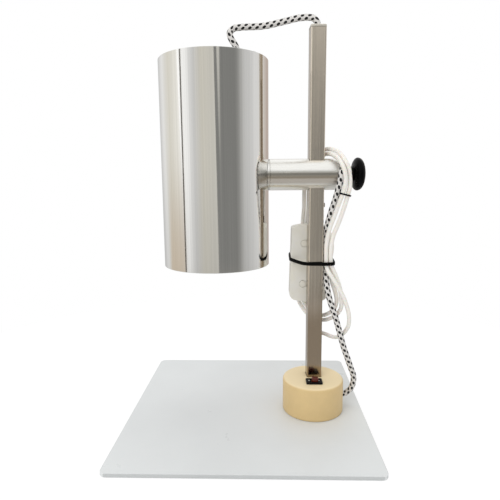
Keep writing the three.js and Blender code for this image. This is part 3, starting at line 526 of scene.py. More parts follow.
def plain(name, colour, rough, layers, gloss, grain, metallic=0.0, **sockets):
    """A finish of coloured noises, with a noise for its gloss and one for its grain."""
    f = Finish(name, colour, rough, metallic, **sockets)
    for layer in layers:
        f.layer(*layer)
    return f.done(gloss, grain)


def coated_plate(name, colour):
    """Light satin coating on steel: a faint orange peel, soft smudges, a darker rim and side,
    partly edge wear and partly painted shade.
    """
    f = Finish(name, colour, 0.34, Specular_IOR_Level=0.32)
    f.body = scaled(colour, 0.975)
    f.layer((9, 4), 0.3, 0.7, 1, scaled(colour, 1.02))
    f.layer((2600, 1, 0.4), 0.7, 0.76, 0.35, scaled(colour, 0.8))
    # Darker rim and side: ragged edge wear, and painted shade of the plate's side face
    x, y, _ = f.parts(f.at)
    reach = f.math("MAXIMUM", f.math("ABSOLUTE", x), f.math("ABSOLUTE", y))
    ragged = f.math("MULTIPLY_ADD", f.noise(900, 2), 0.0004, reach)
    f.coat(f.remap(ragged, 0.1519, 0.1523, 0, 0.55), scaled(colour, 0.55))
    return f.done(((26, 5, 0.6), 0.3, 0.7, 0.26, 0.44), ((700, 3), 0.00012, 0.35))


def cream_plastic(name, colour):
    """Matt cream moulding with a faint cloud and tiny pits, painted shade at its foot and painted
    light on its top.
    """
    f = Finish(name, colour, 0.5)
    f.body = scaled(colour, 0.955)
    f.layer((38, 5, 0.6), 0.3, 0.7, 1, scaled(colour, 1.035))
    f.layer((1500, 2, 0.6), 0.66, 0.74, 0.5, scaled(colour, 0.72))
    # Painted shade: darker near the bottom, where the hub stands on the plate
    f.coat(f.remap(f.parts(f.at)[2], 0.0046, 0.0075, 0.5, 0, True), scaled(colour, 0.7))
    # Painted light: faces turned upwards are paler, a painted sheen of the bright sky on the top
    f.coat(f.remap(f.facing()[2], 0.5, 0.98, 0, 0.85), scaled(colour, (1.36, 1.56, 2.05)))
    pits = f.remap(f.noise(420, 2), 0.68, 0.74, 0, -1)
    f.relief(f.math("ADD", f.noise(1100, 4, 0.6), pits), 0.00012, 0.4)
    return f.done(((120, 4), 0.3, 0.7, 0.42, 0.6))


# Painted shade and painted reflection on the drawn arm: a darker lower half, and a dark line
# standing in for the mirrored horizon. How each fades at its upper and its lower border, by how
# far up the surface faces, and its tone
UNDERSIDE_SHADE_BANDS = [
    ((0.02, 0.13, 0.8, 0, True), (-0.68, -0.5, 0, 1, True), (0.62, 0.56, 0.5)),
    ((0.05, 0.13, 0.65, 0, True), (-0.12, 0.0, 0, 1, True), 0.36),
]


def brushed_steel(name, colour, scale, rough, depth, foot=None, drawn=0.0):
    """Steel with fine lines along one axis, uneven in tone and gloss.

    A foot is a pair of heights between which it gets darker towards the bottom, a painted shade;
    with a foot, faces turned to -X get a painted shade too. A drawn one smears along X and gets
    a painted shade on its lower half and a painted dark reflection line.
    """
    f = Finish(name, colour, sum(rough) / 2, 1.0)
    lines = f.noise(scale, 3, 0.7, -POST_TURN)
    broad = f.noise(tuple(part * 0.18 for part in scale), 2, 0.5, -POST_TURN)
    cloud = f.noise(22, 4, 0.55)
    f.body = scaled(colour, 0.9)
    f.coat(f.remap(f.both(lines, broad, 0.7), 0.35, 0.65), scaled(colour, 1.05))
    f.coat(f.remap(cloud, 0.5, 0.72, 0, 0.3), scaled(colour, 0.8))
    if foot:
        # Painted shade: the post gets darker and browner towards its foot
        height = f.math("MULTIPLY_ADD", broad, 0.02, f.parts(f.at)[2])
        f.coat(f.remap(height, *foot, 0.95, 0, True), scaled(colour, (0.34, 0.29, 0.235)))
        # Painted shade on faces turned to -X, the side of the post that faces the shade
        f.coat(f.remap(f.facing()[0], -0.98, -0.85, 0.75, 0), scaled(colour, (0.3, 0.24, 0.16)))
    if drawn:
        normal = f.node("NewGeometry").outputs["Normal"]
        round_x = f.node("VectorMath", {0: normal, 1: (1, 0.05, 0)}, operation="CROSS_PRODUCT")
        f.set("Anisotropic", drawn)
        f.set("Anisotropic Rotation", 0.25)
        f.set("Tangent", round_x.outputs["Vector"])
        up = f.parts(normal)[2]
        # Painted shade on the lower half and a painted dark reflection line, by which way the
        # surface faces
        for upper, lower, tone in UNDERSIDE_SHADE_BANDS:
            share = f.math("MULTIPLY", f.remap(up, *upper), f.remap(up, *lower))
            f.coat(share, scaled(colour, tone))
    f.set("Roughness", f.remap(f.both(lines, cloud, 0.6), 0.35, 0.65, *rough))
    f.relief(lines, depth, 0.6)
    return f.done()


def polished_steel(name, colour):
    """Mirror-polished sheet: faint rolling lines along its height, hairlines and a haze."""
    f = Finish(name, colour, 0.05, 1.0)
    f.body = scaled(colour, 0.95)
    f.layer(((520, 520, 3), 3, 0.6), 0.35, 0.65, 1, scaled(colour, 1.02))
    haze = f.noise((14, 14, 8), 4, 0.6)
    hair = f.noise((2600, 2600, 30), 2)
    f.set("Roughness", f.remap(f.both(haze, hair, 0.6), 0.35, 0.65, 0.035, 0.1))
    f.relief(hair, 0.000004, 0.5, f.relief(f.noise((26, 26, 4), 2, 0.4), 0.0004, 0.25))
    return f.done()


def zinc_plate(name, colour):
    """Zinc plating with a mottled, slightly warm bloom."""
    f = Finish(name, colour, 0.32, 1.0)
    f.body = scaled(colour, 0.85)
    f.layer((260, 4, 0.6), 0.35, 0.65, 1, scaled(colour, (1, 0.93, 0.8)))
    return f.done(((700, 3), 0.35, 0.65, 0.24, 0.45), ((1800, 3), 0.00003, 0.5))


def nickel_brass(name, colour):
    """Nickel plating with brownish stains."""
    stain = ((420, 4, 0.6), 0.45, 0.7, 0.5, scaled(colour, 0.6))
    gloss, grain = ((900, 3), 0.35, 0.65, 0.2, 0.42), ((1500, 2), 0.00002, 0.4)
    return plain(name, colour, 0.28, [stain], gloss, grain, 1.0)


def gloss_plastic(name, colour, rough, haze, shine=0.5):
    """Glossy moulding with dust, rub marks and a very fine grain."""
    return plain(name, colour, sum(rough) / 2, [
        ((160, 5, 0.65), 0.45, 0.7, 1, scaled(colour, haze)),
        ((2200, 2, 0.5), 0.72, 0.78, 0.12, (0.25, 0.25, 0.24)),
    ], ((90, 5, 0.6), 0.3, 0.7, *rough), ((900, 3), 0.00002, 0.5), Specular_IOR_Level=shine)


def grained_plastic(name, colour):
    """Matt moulding with a fine grain and slight yellowing."""
    return plain(name, colour, 0.51, [
        ((45, 4, 0.6), 0.35, 0.65, 1, scaled(colour, (1, 0.985, 0.93))),
        (((700, 700, 90), 3, 0.6), 0.66, 0.74, 0.25, scaled(colour, 0.72)),
    ], ((300, 4), 0.35, 0.65, 0.42, 0.6), ((1500, 3, 0.6), 0.00004, 0.5))


def soft_pvc(name, colour):
    """White cable sheath: satin, a little yellowed, with faint rub marks."""
    return plain(
        name, colour, 0.38, [
            ((70, 4, 0.6), 0.35, 0.68, 1, scaled(colour, (0.99, 0.97, 0.92))),
            ((620, 4, 0.65), 0.62, 0.72, 0.4, scaled(colour, 0.78)),
        ], ((260, 4), 0.35, 0.65, 0.3, 0.5), ((900, 3), 0.00005, 0.4),
        Subsurface_Weight=0.06, Subsurface_Scale=0.002, Coat_Weight=0.08, Coat_Roughness=0.25,
    )


def tie_rubber(name, colour):
    """Black nylon with a faint bloom."""
    bloom = ((300, 4, 0.6), 0.5, 0.72, 1, scaled(colour, 1.7))
    gloss, grain = ((500, 3), 0.35, 0.65, 0.34, 0.55), ((1300, 3), 0.00004, 0.5)
    return plain(name, colour, 0.42, [bloom], gloss, grain, Specular_IOR_Level=0.07)


def glazed_ceramic(name, colour):
    """White glaze with a few dark specks."""
    return plain(
        name, colour, 0.16, [
            ((90, 4), 0.35, 0.65, 1, scaled(colour, 0.93)),
            ((1900, 1), 0.74, 0.78, 0.5, (0.35, 0.3, 0.25)),
        ], ((60, 3), 0.3, 0.7, 0.1, 0.24), ((130, 3), 0.00012, 0.3),
        Coat_Weight=0.5, Coat_Roughness=0.06,
    )


# The braid: how long one row of flecks and one strand are, and the rows round the cord
FLECK_PITCH = 0.0086
STRAND_PITCH = FLECK_PITCH / 3
FLECK_ROWS = 3.0
STRAND_ROWS = 9.0


def braid_weave(name, colour, fleck):
    """Woven cotton sleeve, by the cord's UV map: pale strands with rows of dark flecks.

    The map's first number is metres along the cord, the second one turn round it.
    """
    f = Finish(name, colour, 0.85, Sheen_Weight=0.25, Sheen_Roughness=0.5)
    uv = f.node("UVMap", uv_map="UVMap").outputs["UV"]
    along, about, _ = f.parts(uv)

    def centred(value, shift):
        """A value's distance from the middle of its step."""
        return f.math("SUBTRACT", f.math("FRACT", f.math("ADD", value, shift)), 0.5)

    def spot(shift):
        """How far a point is from the nearest fleck, in metres."""
        one = centred(f.math("DIVIDE", along, FLECK_PITCH), shift)
        two = centred(f.math("MULTIPLY_ADD", about, FLECK_ROWS, 0.2), shift)
        one = f.math("MULTIPLY", one, FLECK_PITCH * 0.75)
        two = f.math("MULTIPLY", two, math.pi * BRAID_DIAMETER / FLECK_ROWS)
        skew = f.math("MULTIPLY_ADD", one, 0.35, two)
        reach = f.math("ADD", f.math("POWER", one, 2.0), f.math("POWER", skew, 2.0))
        return f.math("SQRT", reach)

    ragged = f.math("SUBTRACT", f.noise(1800, 2), 0.5)
    near = f.math("MULTIPLY_ADD", ragged, 0.0004, f.math("MINIMUM", spot(0.0), spot(0.5)))
    turns = f.math("MULTIPLY", about, STRAND_ROWS)
    steps = f.math("DIVIDE", along, STRAND_PITCH)
    one, two = (
        f.math("SINE", f.math("MULTIPLY", f.math(way, steps, turns), math.tau))
        for way in ("ADD", "SUBTRACT")
    )
    weave = f.remap(f.math("MULTIPLY", one, two), -1, 1)
    fibres = f.node("Mapping", {"Vector": uv, "Scale": (2600, 60, 1)}).outputs["Vector"]
    yarn = f.node("TexNoise", {"Vector": fibres, "Scale": 1.0, "Detail": 3.0}).outputs[0]
    f.body = scaled(colour, 0.78)
    f.coat(weave, scaled(colour, 1.03))
    f.coat(f.remap(yarn, 0.4, 0.7, 0, 0.3), scaled(colour, 0.8))
    f.coat(f.remap(near, 0.00165, 0.0018, 1, 0, True), colour_by(fleck))
    f.set("Roughness", f.remap(yarn, 0.3, 0.7, 0.75, 0.95))
    f.relief(f.math("MULTIPLY_ADD", yarn, 0.35, weave), 0.00022, 0.7)
    return f.done()


def bulb_glass(name, colour, silver, front_height, rim_height):
    """Reflector bulb: silvered inside the cone, deep red pressed glass on the face."""
    f = Finish(name, colour, 0.22, Coat_Weight=0.6, Coat_Roughness=0.05)
    edge = f.math("MULTIPLY_ADD", f.noise(60, 3), 0.003, f.parts(f.at)[2])
    upper = f.remap(edge, front_height, rim_height, 0, 1, True)
    mottle = f.remap(f.noise(240, 4, 0.6), 0.35, 0.65)
    silver = colour_by(silver)
    f.body = f.tint(mottle, scaled(colour, 0.75), scaled(colour, 1.2))
    f.coat(upper, f.tint(mottle, scaled(silver, 0.9), silver))
    f.set("Metallic", f.math("MULTIPLY", upper, 0.9))
    return f.done(((380, 3), 0.35, 0.65, 0.16, 0.32), ((520, 2), 0.0002, 0.35))


# Settings


def size_of(name, text, value):
    return bpy.props.FloatProperty(
        name=name, description=text, default=value, min=0, unit="LENGTH", precision=4,
    )


def colour_of(name, text, red, green, blue):
    return bpy.props.FloatVectorProperty(
        name=name, description=text, default=linear(red, green, blue), min=0, max=1,
        size=3, subtype="COLOR",
    )


class PlateSettings(bpy.types.PropertyGroup):
    """The base plate and the hub on it."""

    side: size_of("Plate side", "Side of the square plate", 0.3048)
    thickness: size_of("Plate thickness", "Thickness of the plate", 0.0043)
    corner: size_of("Plate corner", "Radius of the plate's corners", 0.008)
    hub_diameter: size_of("Hub diameter", "Diameter of the cream hub", 0.0796)
    hub_round: size_of("Hub rim", "Radius of the hub's top rim", 0.003)
    coating: colour_of("Coating", "Colour of the plate's coating", 224, 227, 227)
    cream: colour_of("Cream", "Colour of the hub", 220, 192, 139)


class PostSettings(bpy.types.PropertyGroup):
    """The square post and the rocker switch at its foot."""

    width: size_of("Post width", "Width of the square tube", POST_WIDTH)
    wall: size_of("Post wall", "Wall of the square tube", 0.0015)
    top: size_of("Post top", "Height of the tube's top", 0.4874)
    steel: colour_of("Brushed steel", "Colour of the post", 240, 230, 216)
    zinc: colour_of("Zinc", "Colour of screws and washers", 186, 188, 190)
    black: colour_of("Black", "Colour of the switch and the knob", 8, 8, 9)
    dolly: colour_of("Dolly", "Colour of the switch's dolly", 84, 28, 18)


class ArmSettings(bpy.types.PropertyGroup):
    """The arm tube with its clamp."""

    diameter: size_of("Arm diameter", "Diameter of the arm tube", 0.039)
    wall: size_of("Arm wall", "Wall of the arm tube", 0.0016)
    knob_diameter: size_of("Knob diameter", "Diameter of the clamp knob", 0.0413)
    satin: colour_of("Satin steel", "Colour of the arm tube", 246, 245, 240)
    grey: colour_of("Grey", "Colour of the guide sleeve and the pads", 90, 90, 88)


class HeadSettings(bpy.types.PropertyGroup):
    """The shade and what it holds."""

    diameter: size_of("Shade diameter", "Outside diameter of the shade", 0.1332)
    wall: size_of("Shade wall", "Wall of the shade", 0.0015)
    bulb_diameter: size_of("Bulb diameter", "Diameter of the reflector bulb", 0.121)
    mirror: colour_of("Polished steel", "Colour of the shade", 238, 237, 234)
    ceramic: colour_of("Ceramic", "Colour of the lampholder", 236, 235, 230)
    ruby: colour_of("Ruby glass", "Colour of the bulb's face", 150, 22, 14)


class BoxSettings(bpy.types.PropertyGroup):
    """The in-line box behind the post."""

    width: size_of("Box width", "Width of the box", 0.05)
    height: size_of("Box height", "Height of the box at its corners", 0.096)
    depth: size_of("Box depth", "Depth of the box", 0.027)
    shell: colour_of("Shell", "Colour of the two shells", 234, 232, 225)
    button: colour_of("Screw caps", "Colour of the two screw caps", 234, 231, 221)


class CordSettings(bpy.types.PropertyGroup):
    """The cords, the plug and the ties."""

    braid_diameter: size_of("Braid diameter", "Diameter of the braided cords", BRAID_DIAMETER)
    lead_diameter: size_of("Lead diameter", "Diameter of the white mains lead", 0.0054)
    braid: colour_of("Braid", "Colour of the braided sleeve", 232, 229, 225)
    fleck: colour_of("Flecks", "Colour of the flecks in the braid", 6, 6, 7)
    white: colour_of("White sheath", "Colour of the mains lead", 243, 240, 235)
    tie: colour_of("Tie", "Colour of the two ties", 6, 6, 6)


class StageSettings(bpy.types.PropertyGroup):
    """The floor, the light and the camera."""

    floor: colour_of("Floor", "Colour of the floor", 240, 240, 240)
    floor_radius: size_of("Floor radius", "Radius of the floor", 0.6)
    key: bpy.props.FloatProperty(name="Key", description="Power of the key lamp", default=10.5)
    fill: bpy.props.FloatProperty(name="Fill", description="Power of the fill lamp", default=4.7)
    sky: bpy.props.FloatProperty(name="Sky", description="Strength of the soft light", default=0.73)


def settings(name):
    """The scene's settings of one group."""
    return getattr(bpy.context.scene, "heat_lamp_" + name)


def colour_by(source):
    """A colour from a group and the name of its setting, or from its 8-bit parts."""
    if isinstance(source, tuple):
        return linear(*source)
    group, key = source.split(".")
    return tuple(getattr(settings(group), key))


# What each finish is made by, its colour and what else its maker takes
FINISHES = {
    "plate_coating": (coated_plate, "plate.coating"),
    "hub_cream": (cream_plastic, "plate.cream"),
    # The post gets painted shade towards its foot and on its face turned to -X
    "post_steel": (
        brushed_steel, "post.steel", (1500, 1500, 9), (0.13, 0.22), 0.000008, (0.125, 0.21),
    ),
    # The arm gets painted shade on its lower half and a painted dark reflection line
    "arm_steel": (
        brushed_steel, "arm.satin", (10, 1300, 1300), (0.26, 0.33), 0.000003, None, 0.95,
    ),
    # The cap's foot heights lie below it, so only the painted shade on its face turned to -X shows
    "cap_steel": (
        brushed_steel, (238, 233, 222), (500, 500, 500), (0.2, 0.32), 0.000008, (-1, -0.9),
    ),
    "shade_polish": (polished_steel, "head.mirror"),
    "zinc_plating": (zinc_plate, "post.zinc"),
    "dull_screw": (zinc_plate, (128, 112, 92)),
    "contact_metal": (nickel_brass, (200, 188, 150)),
    "knob_black": (gloss_plastic, "post.black", (0.18, 0.3), 1.5, 0.05),
    "switch_black": (gloss_plastic, "post.black", (0.24, 0.36), 1.4, 0.12),
    "dolly_red": (gloss_plastic, "post.dolly", (0.12, 0.24), 1.25),
    "mark_white": (grained_plastic, (226, 226, 222)),
    "moulded_grey": (grained_plastic, "arm.grey"),
    "box_shell": (grained_plastic, "box.shell"),
    "box_button": (grained_plastic, "box.button"),
    "white_sheath": (soft_pvc, "cords.white"),
    "braided_sleeve": (braid_weave, "cords.braid", "cords.fleck"),
    "tie_black": (tie_rubber, "cords.tie"),
    "glazed_ceramic": (glazed_ceramic, "head.ceramic"),
    "bulb_glass": (bulb_glass, "head.ruby", (205, 203, 200), 0.262, 0.292),
}


def finish(name):
    """The material of that name, made when it is first asked for."""
    known = bpy.data.materials.get(name)
    if known:
        return known
    maker, colour, *rest = FINISHES[name]
    return maker(name, colour_by(colour), *rest)


# Pieces


def sunk_hole(x, y, head, sink, radius):
    """A cutter for a screw hole that is sunk from below."""
    profile = [(0, -1), (head, -1), (head, 0.4), (radius, sink), (radius, 8), (0, 8)]
    return shifted(turned(profile, 48), x, y)


class HEATLAMP_OT_plate(bpy.types.Operator):
    """Builds the base plate with its sunk screws"""

    bl_idname = "heatlamp.plate"
    bl_label = "Base Plate"

    def execute(self, context):
        s = settings("plate")
        side = s.side / MM
        plate = rounded_block(side, side, 0, s.thickness / MM, s.corner / MM, 0.5, steps=12)
        holes = [sunk_hole(POST_X / MM, POST_Y / MM, head=5.9, sink=3.5, radius=3.3)]
        holes += [sunk_hole(*place, head=4.3, sink=2.7, radius=2.3) for place in HUB_SCREWS]
        plate = bored(plate, *holes)
        piece("plate", plate, "plate_coating", "base", "base_plate", level=True)
        dress("zinc_plating", "hub_screw_1", "hub_screw_2", "post_screw", "post_foot_plug")
        return {"FINISHED"}


class HEATLAMP_OT_hub(bpy.types.Operator):
    """Builds the cream hub that carries the post and the switch"""

    bl_idname = "heatlamp.hub"
    bl_label = "Hub"

    def execute(self, context):
        s = settings("plate")
        radius, rim_round = s.hub_diameter / 2 / MM, s.hub_round / MM
        low, high = POST_FOOT, HUB_TOP / MM
        profile = [(0, low), (radius - 0.8, low), (radius - 0.25, low + 0.25), (radius, low + 0.8)]
        for turn in spread(0, math.pi / 2, 7):
            profile.append((
                radius - rim_round + rim_round * math.cos(turn),
                high - rim_round + rim_round * math.sin(turn),
            ))
        profile.append((0, high))
        recess = disc(22.6, 3, high - 13)
        post_hole = rounded_block(POST_WAY, POST_WAY, 3, high + 2, POST_CORNER, 0)
        post_hole.transform(ON_HUB.inverted() @ ON_POST)
        switch_hole = box(19.6, 13.6, high - 25, high + 2, (0, (SWITCH_Y - HUB_Y) / MM))
        gland_hole = disc(5.8, 15, radius + 2, along=ALONG_X)
        gland_hole.transform(
            Matrix.Translation((0, 0, GLAND_HEIGHT)) @ Matrix.Rotation(GLAND_TURN, 4, "Z")
        )
        screw_holes = [
            shifted(disc(2.3, 3, 26), x - HUB_X / MM, y - HUB_Y / MM) for x, y in HUB_SCREWS
        ]
        made = bored(
            turned(profile, 128), recess, post_hole, switch_hole, gland_hole, *screw_holes,
        )
        piece("hub_block", made, "hub_cream", "base", "hub", ON_HUB)
        softened("supply_gland", "base", "knob_black", 0.3)
        return {"FINISHED"}


class HEATLAMP_OT_post(bpy.types.Operator):
    """Builds the square post with its cap and stop screw"""

    bl_idname = "heatlamp.post"
    bl_label = "Post"

    def execute(self, context):
        s = settings("post")
        width, top = s.width / MM, s.top / MM
        inner = width - 2 * s.wall / MM
        body = rounded_block(width, width, POST_FOOT, top, POST_CORNER, 0.25, steps=6)
        room = rounded_block(inner, inner, 3, top + 2, 0.9, 0, steps=4)
        screw_hole = shifted(disc(2, 0, width, 0.1, 32, ALONG_X), 0, 0, STOP_HEIGHT)
        cable_hole = disc(3.5, 0, width, 0.1, 32, ALONG_X)
        cable_hole.transform(
            Matrix.Translation((0, 0, CABLE_HEIGHT)) @ Matrix.Rotation(-math.pi / 2, 4, "Z")
        )
        made = bored(body, room, screw_hole, cable_hole)
        piece("post_tube", made, "post_steel", "base", "post", ON_POST, level=True)
        cap = rounded_block(
            width, width, top + 0.3, top + 3.4, POST_CORNER, 0.9, steps=6, bottom=False,
        )
        spigot = box(inner - 0.6, inner - 0.6, top - 11.7, top + 0.6)
        cap, spigot = (bored(part, disc(4, top - 14, top + 5)) for part in (cap, spigot))
        cap = join(cap, spigot)
        piece("post_top_cap", cap, "cap_steel", "base", "post_cap", ON_POST, level=True)
        self.stop_screw(width / 2 + 0.3)
        return {"FINISHED"}

    def stop_screw(self, start):
        """The screw that stops the arm, with a slot in its head."""
        screw = turned([
            (0, start - 5), (1.2, start - 5), (1.7, start - 4.4), (1.7, start), (3.0, start),
            (3.2, start + 0.25), (3.15, start + 1.1), (2.6, start + 1.9), (1.7, start + 2.3),
            (0, start + 2.4),
        ], 48, ALONG_X)
        slot = box(0.7, 7, -0.35, 0.35)
        slot.transform(Matrix.Scale(3, 4, (1, 0, 0)))
        piece(
            "stop_screw_head", bored(screw, shifted(slot, start + 2.3, 0)), "dull_screw", "base",
            "stop_screw", ON_POST @ Matrix.Translation((0, 0, STOP_HEIGHT * MM)),
        )


class HEATLAMP_OT_switch(bpy.types.Operator):
    """Builds the rocker switch with its marks"""

    bl_idname = "heatlamp.switch"
    bl_label = "Rocker Switch"

    def execute(self, context):
        bezel = rounded_block(21, 15, 0, 2, 1.6, 0.5, steps=5, bottom=False)
        bezel = bored(join(bezel, box(19, 13, -14, 0.4)), box(10.2, 8.4, -6, 3))
        piece(
            "switch_bezel", bezel, "switch_black", "base", "switch_body", ON_SWITCH,
            level=True,
        )
        ring = tube(1.3, 0.7, 1.95, 2.05, 0.02, 32)
        bar = box(0.7, 2.8, 1.95, 2.05)
        rounded(bar, upright(bar), 0.2, 3)
        for name, mark, x in (("mark_off", ring, -6.6), ("mark_on", bar, 6.3)):
            piece(name, shifted(mark, x, 0), "mark_white", "base", place=ON_SWITCH)
        softened("switch_dolly", "rocker", "dolly_red", 0.25)
        dress("contact_metal", "switch_tab_left", "switch_tab_right")
        return {"FINISHED"}


class HEATLAMP_OT_arm(bpy.types.Operator):
    """Builds the arm tube, its end cap, the clamp knob and the tilt joint"""

    bl_idname = "heatlamp.arm"
    bl_label = "Arm And Clamp"

    def execute(self, context):
        s = settings("arm")
        radius = s.diameter / 2 / MM
        pipe = bored(
            tube(radius, radius - s.wall / MM, ARM_LEFT, ARM_RIGHT, 0.25, 160, ALONG_X),
            rounded_block(POST_WAY, POST_WAY, -30, 30, 0.6, 0),
        )
        piece("arm_pipe", pipe, "arm_steel", "arm", "arm_tube", ON_ARM)
        cap = turned([
            (4.3, 18.2), (17.2, 18.2), (17.6, 18.6), (17.6, 26.2), (19.3, 26.2), (19.5, 26.4),
            (19.5, 27.3), (19.3, 27.6), (18.9, 27.7), (5.2, 27.7), (4.3, 27.2), (4.3, 18.2),
        ], 128, ALONG_X)
        piece("arm_plug", cap, "arm_steel", "arm", "arm_end_cap", ON_ARM)
        dress("moulded_grey", "guide_sleeve", "pressure_pad", "pivot_washer")
        self.stud(start=14.1, end=55.0, pitch=1.25)
        self.knob(s.knob_diameter / 2 / MM)
        for node in ("pivot_plug", "pivot_bolt", "pivot_nut", "pivot_spring_washer"):
            softened(node, "arm", "zinc_plating", 0.2)
        return {"FINISHED"}

    def stud(self, start, end, pitch):
        """The clamp's stud with its thread."""
        profile = [(0, start), (2.8, start), (3.35, start + 0.7)]
        at = start + 1.2
        while at < end - 1.5:
            profile += [(4.0, at + 0.25), (4.0, at + 0.4), (3.3, at + 0.95), (3.3, at + 1.1)]
            at += pitch
        stud = turned([*profile, (3.3, end), (0, end)], 48, ALONG_X)
        piece("clamp_stud", stud, "zinc_plating", "knob", "knob_stud", ON_ARM)

    def knob(self, radius):
        """The clamp's knob with its neck."""
        start, widest, thick, neck = 46.2, 6.3, 14.7, 12.2
        profile = [(4.3, 42.2), (8.6, 42.2), (9.0, 42.6), (9.0, 44.6), (9.5, 45.8), (11.2, 46.8)]
        for turn in spread(-math.pi / 2, math.pi / 2, 44):
            reach = widest if turn < 0 else thick - widest
            across = radius * max(math.cos(turn), 0) ** 0.62
            if turn >= 0 or across >= neck:
                profile.append((across, start + widest + reach * math.sin(turn)))
        profile[-1] = (0, start + thick)
        knob = turned([*profile, (0, 55.6), (4.3, 55.3), (4.3, 42.2)], 96, ALONG_X)
        piece("clamp_knob", knob, "knob_black", "knob", "knob", ON_ARM)


class HEATLAMP_OT_head(bpy.types.Operator):
    """Builds the shade, its vented top, the lampholder and the bulb"""

    bl_idname = "heatlamp.head"
    bl_label = "Lamp Head"

    def execute(self, context):
        s = settings("head")
        radius, wall = s.diameter / 2 / MM, s.wall / MM
        shell = tube(radius, radius - wall, SHADE_LOW, SHADE_HIGH, 0.45, 192)
        # Two more rings keep the cut round the hole from reaching over the whole side
        for height in (-0.016, 0.016):
            sliced(shell, (0, 0, height), (0, 0, 1))
        shell = bored(shell, disc(4.3, 60, 72, along=ALONG_X))
        piece("lamp_shade", shell, "shade_polish", "head", "shade", ON_HEAD)
        self.top(radius - wall - 0.3, low=116.2, top=117.7)
        self.holder(top=115.9)
        self.bulb(s.bulb_diameter / 2 / MM, top=72.3)
        collar = turned([
            (4.3, 56), (19.45, 56), (19.45, 67.15), (19.3, 67.3), (17.2, 67.3), (17.2, 74.7),
            (16.9, 75), (4.6, 75), (4.3, 74.7), (4.3, 56),
        ], 128, ALONG_X)
        collar = bored(collar, disc(radius + 0.3, -40, 40, 0, 192))
        piece("saddle_collar", collar, "arm_steel", "head", "pivot_saddle", ON_HEAD)
        softened("pivot_inner_saddle", "head", "zinc_plating", 0.2)
        return {"FINISHED"}

    def top(self, radius, low, top):
        """The vented plate in the shade, with the bushing of the cord."""
        cup = turned([
            (0, low), (radius - 1.5, low), (radius - 1.5, top - 10), (radius, top - 10),
            (radius, top - 1.6), (radius - 0.3, top - 0.7), (radius - 0.9, top - 0.2),
            (radius - 1.8, top), (0, top),
        ], 128)
        cord_place, slots = 33, 12
        cuts = [disc(5.3, low - 2, top + 2), shifted(disc(5.8, low - 2, top + 2), cord_place, 0)]
        for number in range(slots):
            slot = rounded_block(5, 16, low - 2, top + 2, 2.49, 0, (46, 0))
            slot.transform(Matrix.Rotation((number + 0.5) / slots * math.tau, 4, "Z"))
            cuts.append(slot)
        cup = bored(cup, *cuts)
        piece("vented_top", cup, "shade_polish", "head", "top_plate", ON_HEAD)
        gland = turned([
            (3.9, low - 4), (5.3, low - 4), (5.5, low - 3.8), (5.5, top + 0.3), (8.1, top + 0.3),
            (8.5, top + 0.7), (8.5, top + 2.8), (8.1, top + 3.3), (7.0, top + 4.0),
            (6.3, top + 5.6), (6.0, top + 6.7), (5.6, top + 7.3), (3.9, top + 7.3), (3.9, low - 4),
        ], 64)
        gland = shifted(gland, cord_place, 0)
        piece("lamp_bushing", gland, "knob_black", "head", "lamp_gland", ON_HEAD)
        for node in ("holder_nipple", "nipple_locknut"):
            softened(node, "head", "zinc_plating", 0.25)

    def holder(self, top):
        """The ridged lampholder."""
        profile = [
            (5.3, top), (10.5, top), (12, top - 0.5), (15.2, top - 2.2), (16.6, top - 4),
            (18.6, top - 8), (19.6, top - 11), (20, top - 13.4),
        ]
        for ridge in range(3):
            at = top - 17 - ridge * 5
            profile += [(20, at), (19.3, at - 0.7), (19.3, at - 1.8), (20, at - 2.5)]
        profile += [
            (20, top - 38.6), (19.4, top - 39.6), (18.6, top - 40), (14.6, top - 40),
            (13.9, top - 39.3), (13.9, top - 18), (5.3, top - 18), (5.3, top),
        ]
        holder = turned(profile, 96)
        piece("lamp_socket", holder, "glazed_ceramic", "head", "lampholder", ON_HEAD)

    def bulb(self, radius, top):
        """The bulb's threaded cap and its glass, as a shell that is open under the cap."""
        cap = [
            (0, top + 25), (5.4, top + 25), (6.4, top + 24), (7.6, top + 22.6), (12.6, top + 20.4),
        ]
        for turn in range(5):
            at = top + 19.4 - turn * 3.6
            cap += [(13.5, at), (13.3, at - 0.9), (13.0, at - 1.8), (13.3, at - 2.7)]
        cap += [(13.5, top + 0.6), (13.3, top), (12.7, top), (12.7, top + 19), (0, top + 19)]
        cap = turned(cap, 64)
        piece("bulb_thread", cap, "contact_metal", "head", "bulb_cap", ON_HEAD)
        glass = [
            (12.4, -6), (12.4, 0), (14.4, 1), (16, 4), (16.7, 12), (17.3, 22), (18.2, 31),
            (19.8, 39), (22.4, 46), (26, 53), (30.3, 60), (34.2, 66.6), (38.2, 73), (42.5, 80.4),
            (46.6, 88), (50.5, 96), (54, 104), (56.8, 111), (59, 117.6), (60.2, 122),
            (radius, 126), (60.3, 129), (59.2, 131.2), (57.2, 132.9), (53, 134.3), (46, 135.5),
            (36, 136.2), (22, 136.8), (0, 137),
        ]
        outline = [(across, top - 0.3 - down) for across, down in glass]
        outline += [
            (max(across - 1, 0), height + (1 if height < top - 128 else 0))
            for across, height in reversed(outline)
        ]
        glass = turned([*outline, outline[0]], 128)
        piece("reflector_bulb", glass, "bulb_glass", "head", "bulb", ON_HEAD, sharp=50)


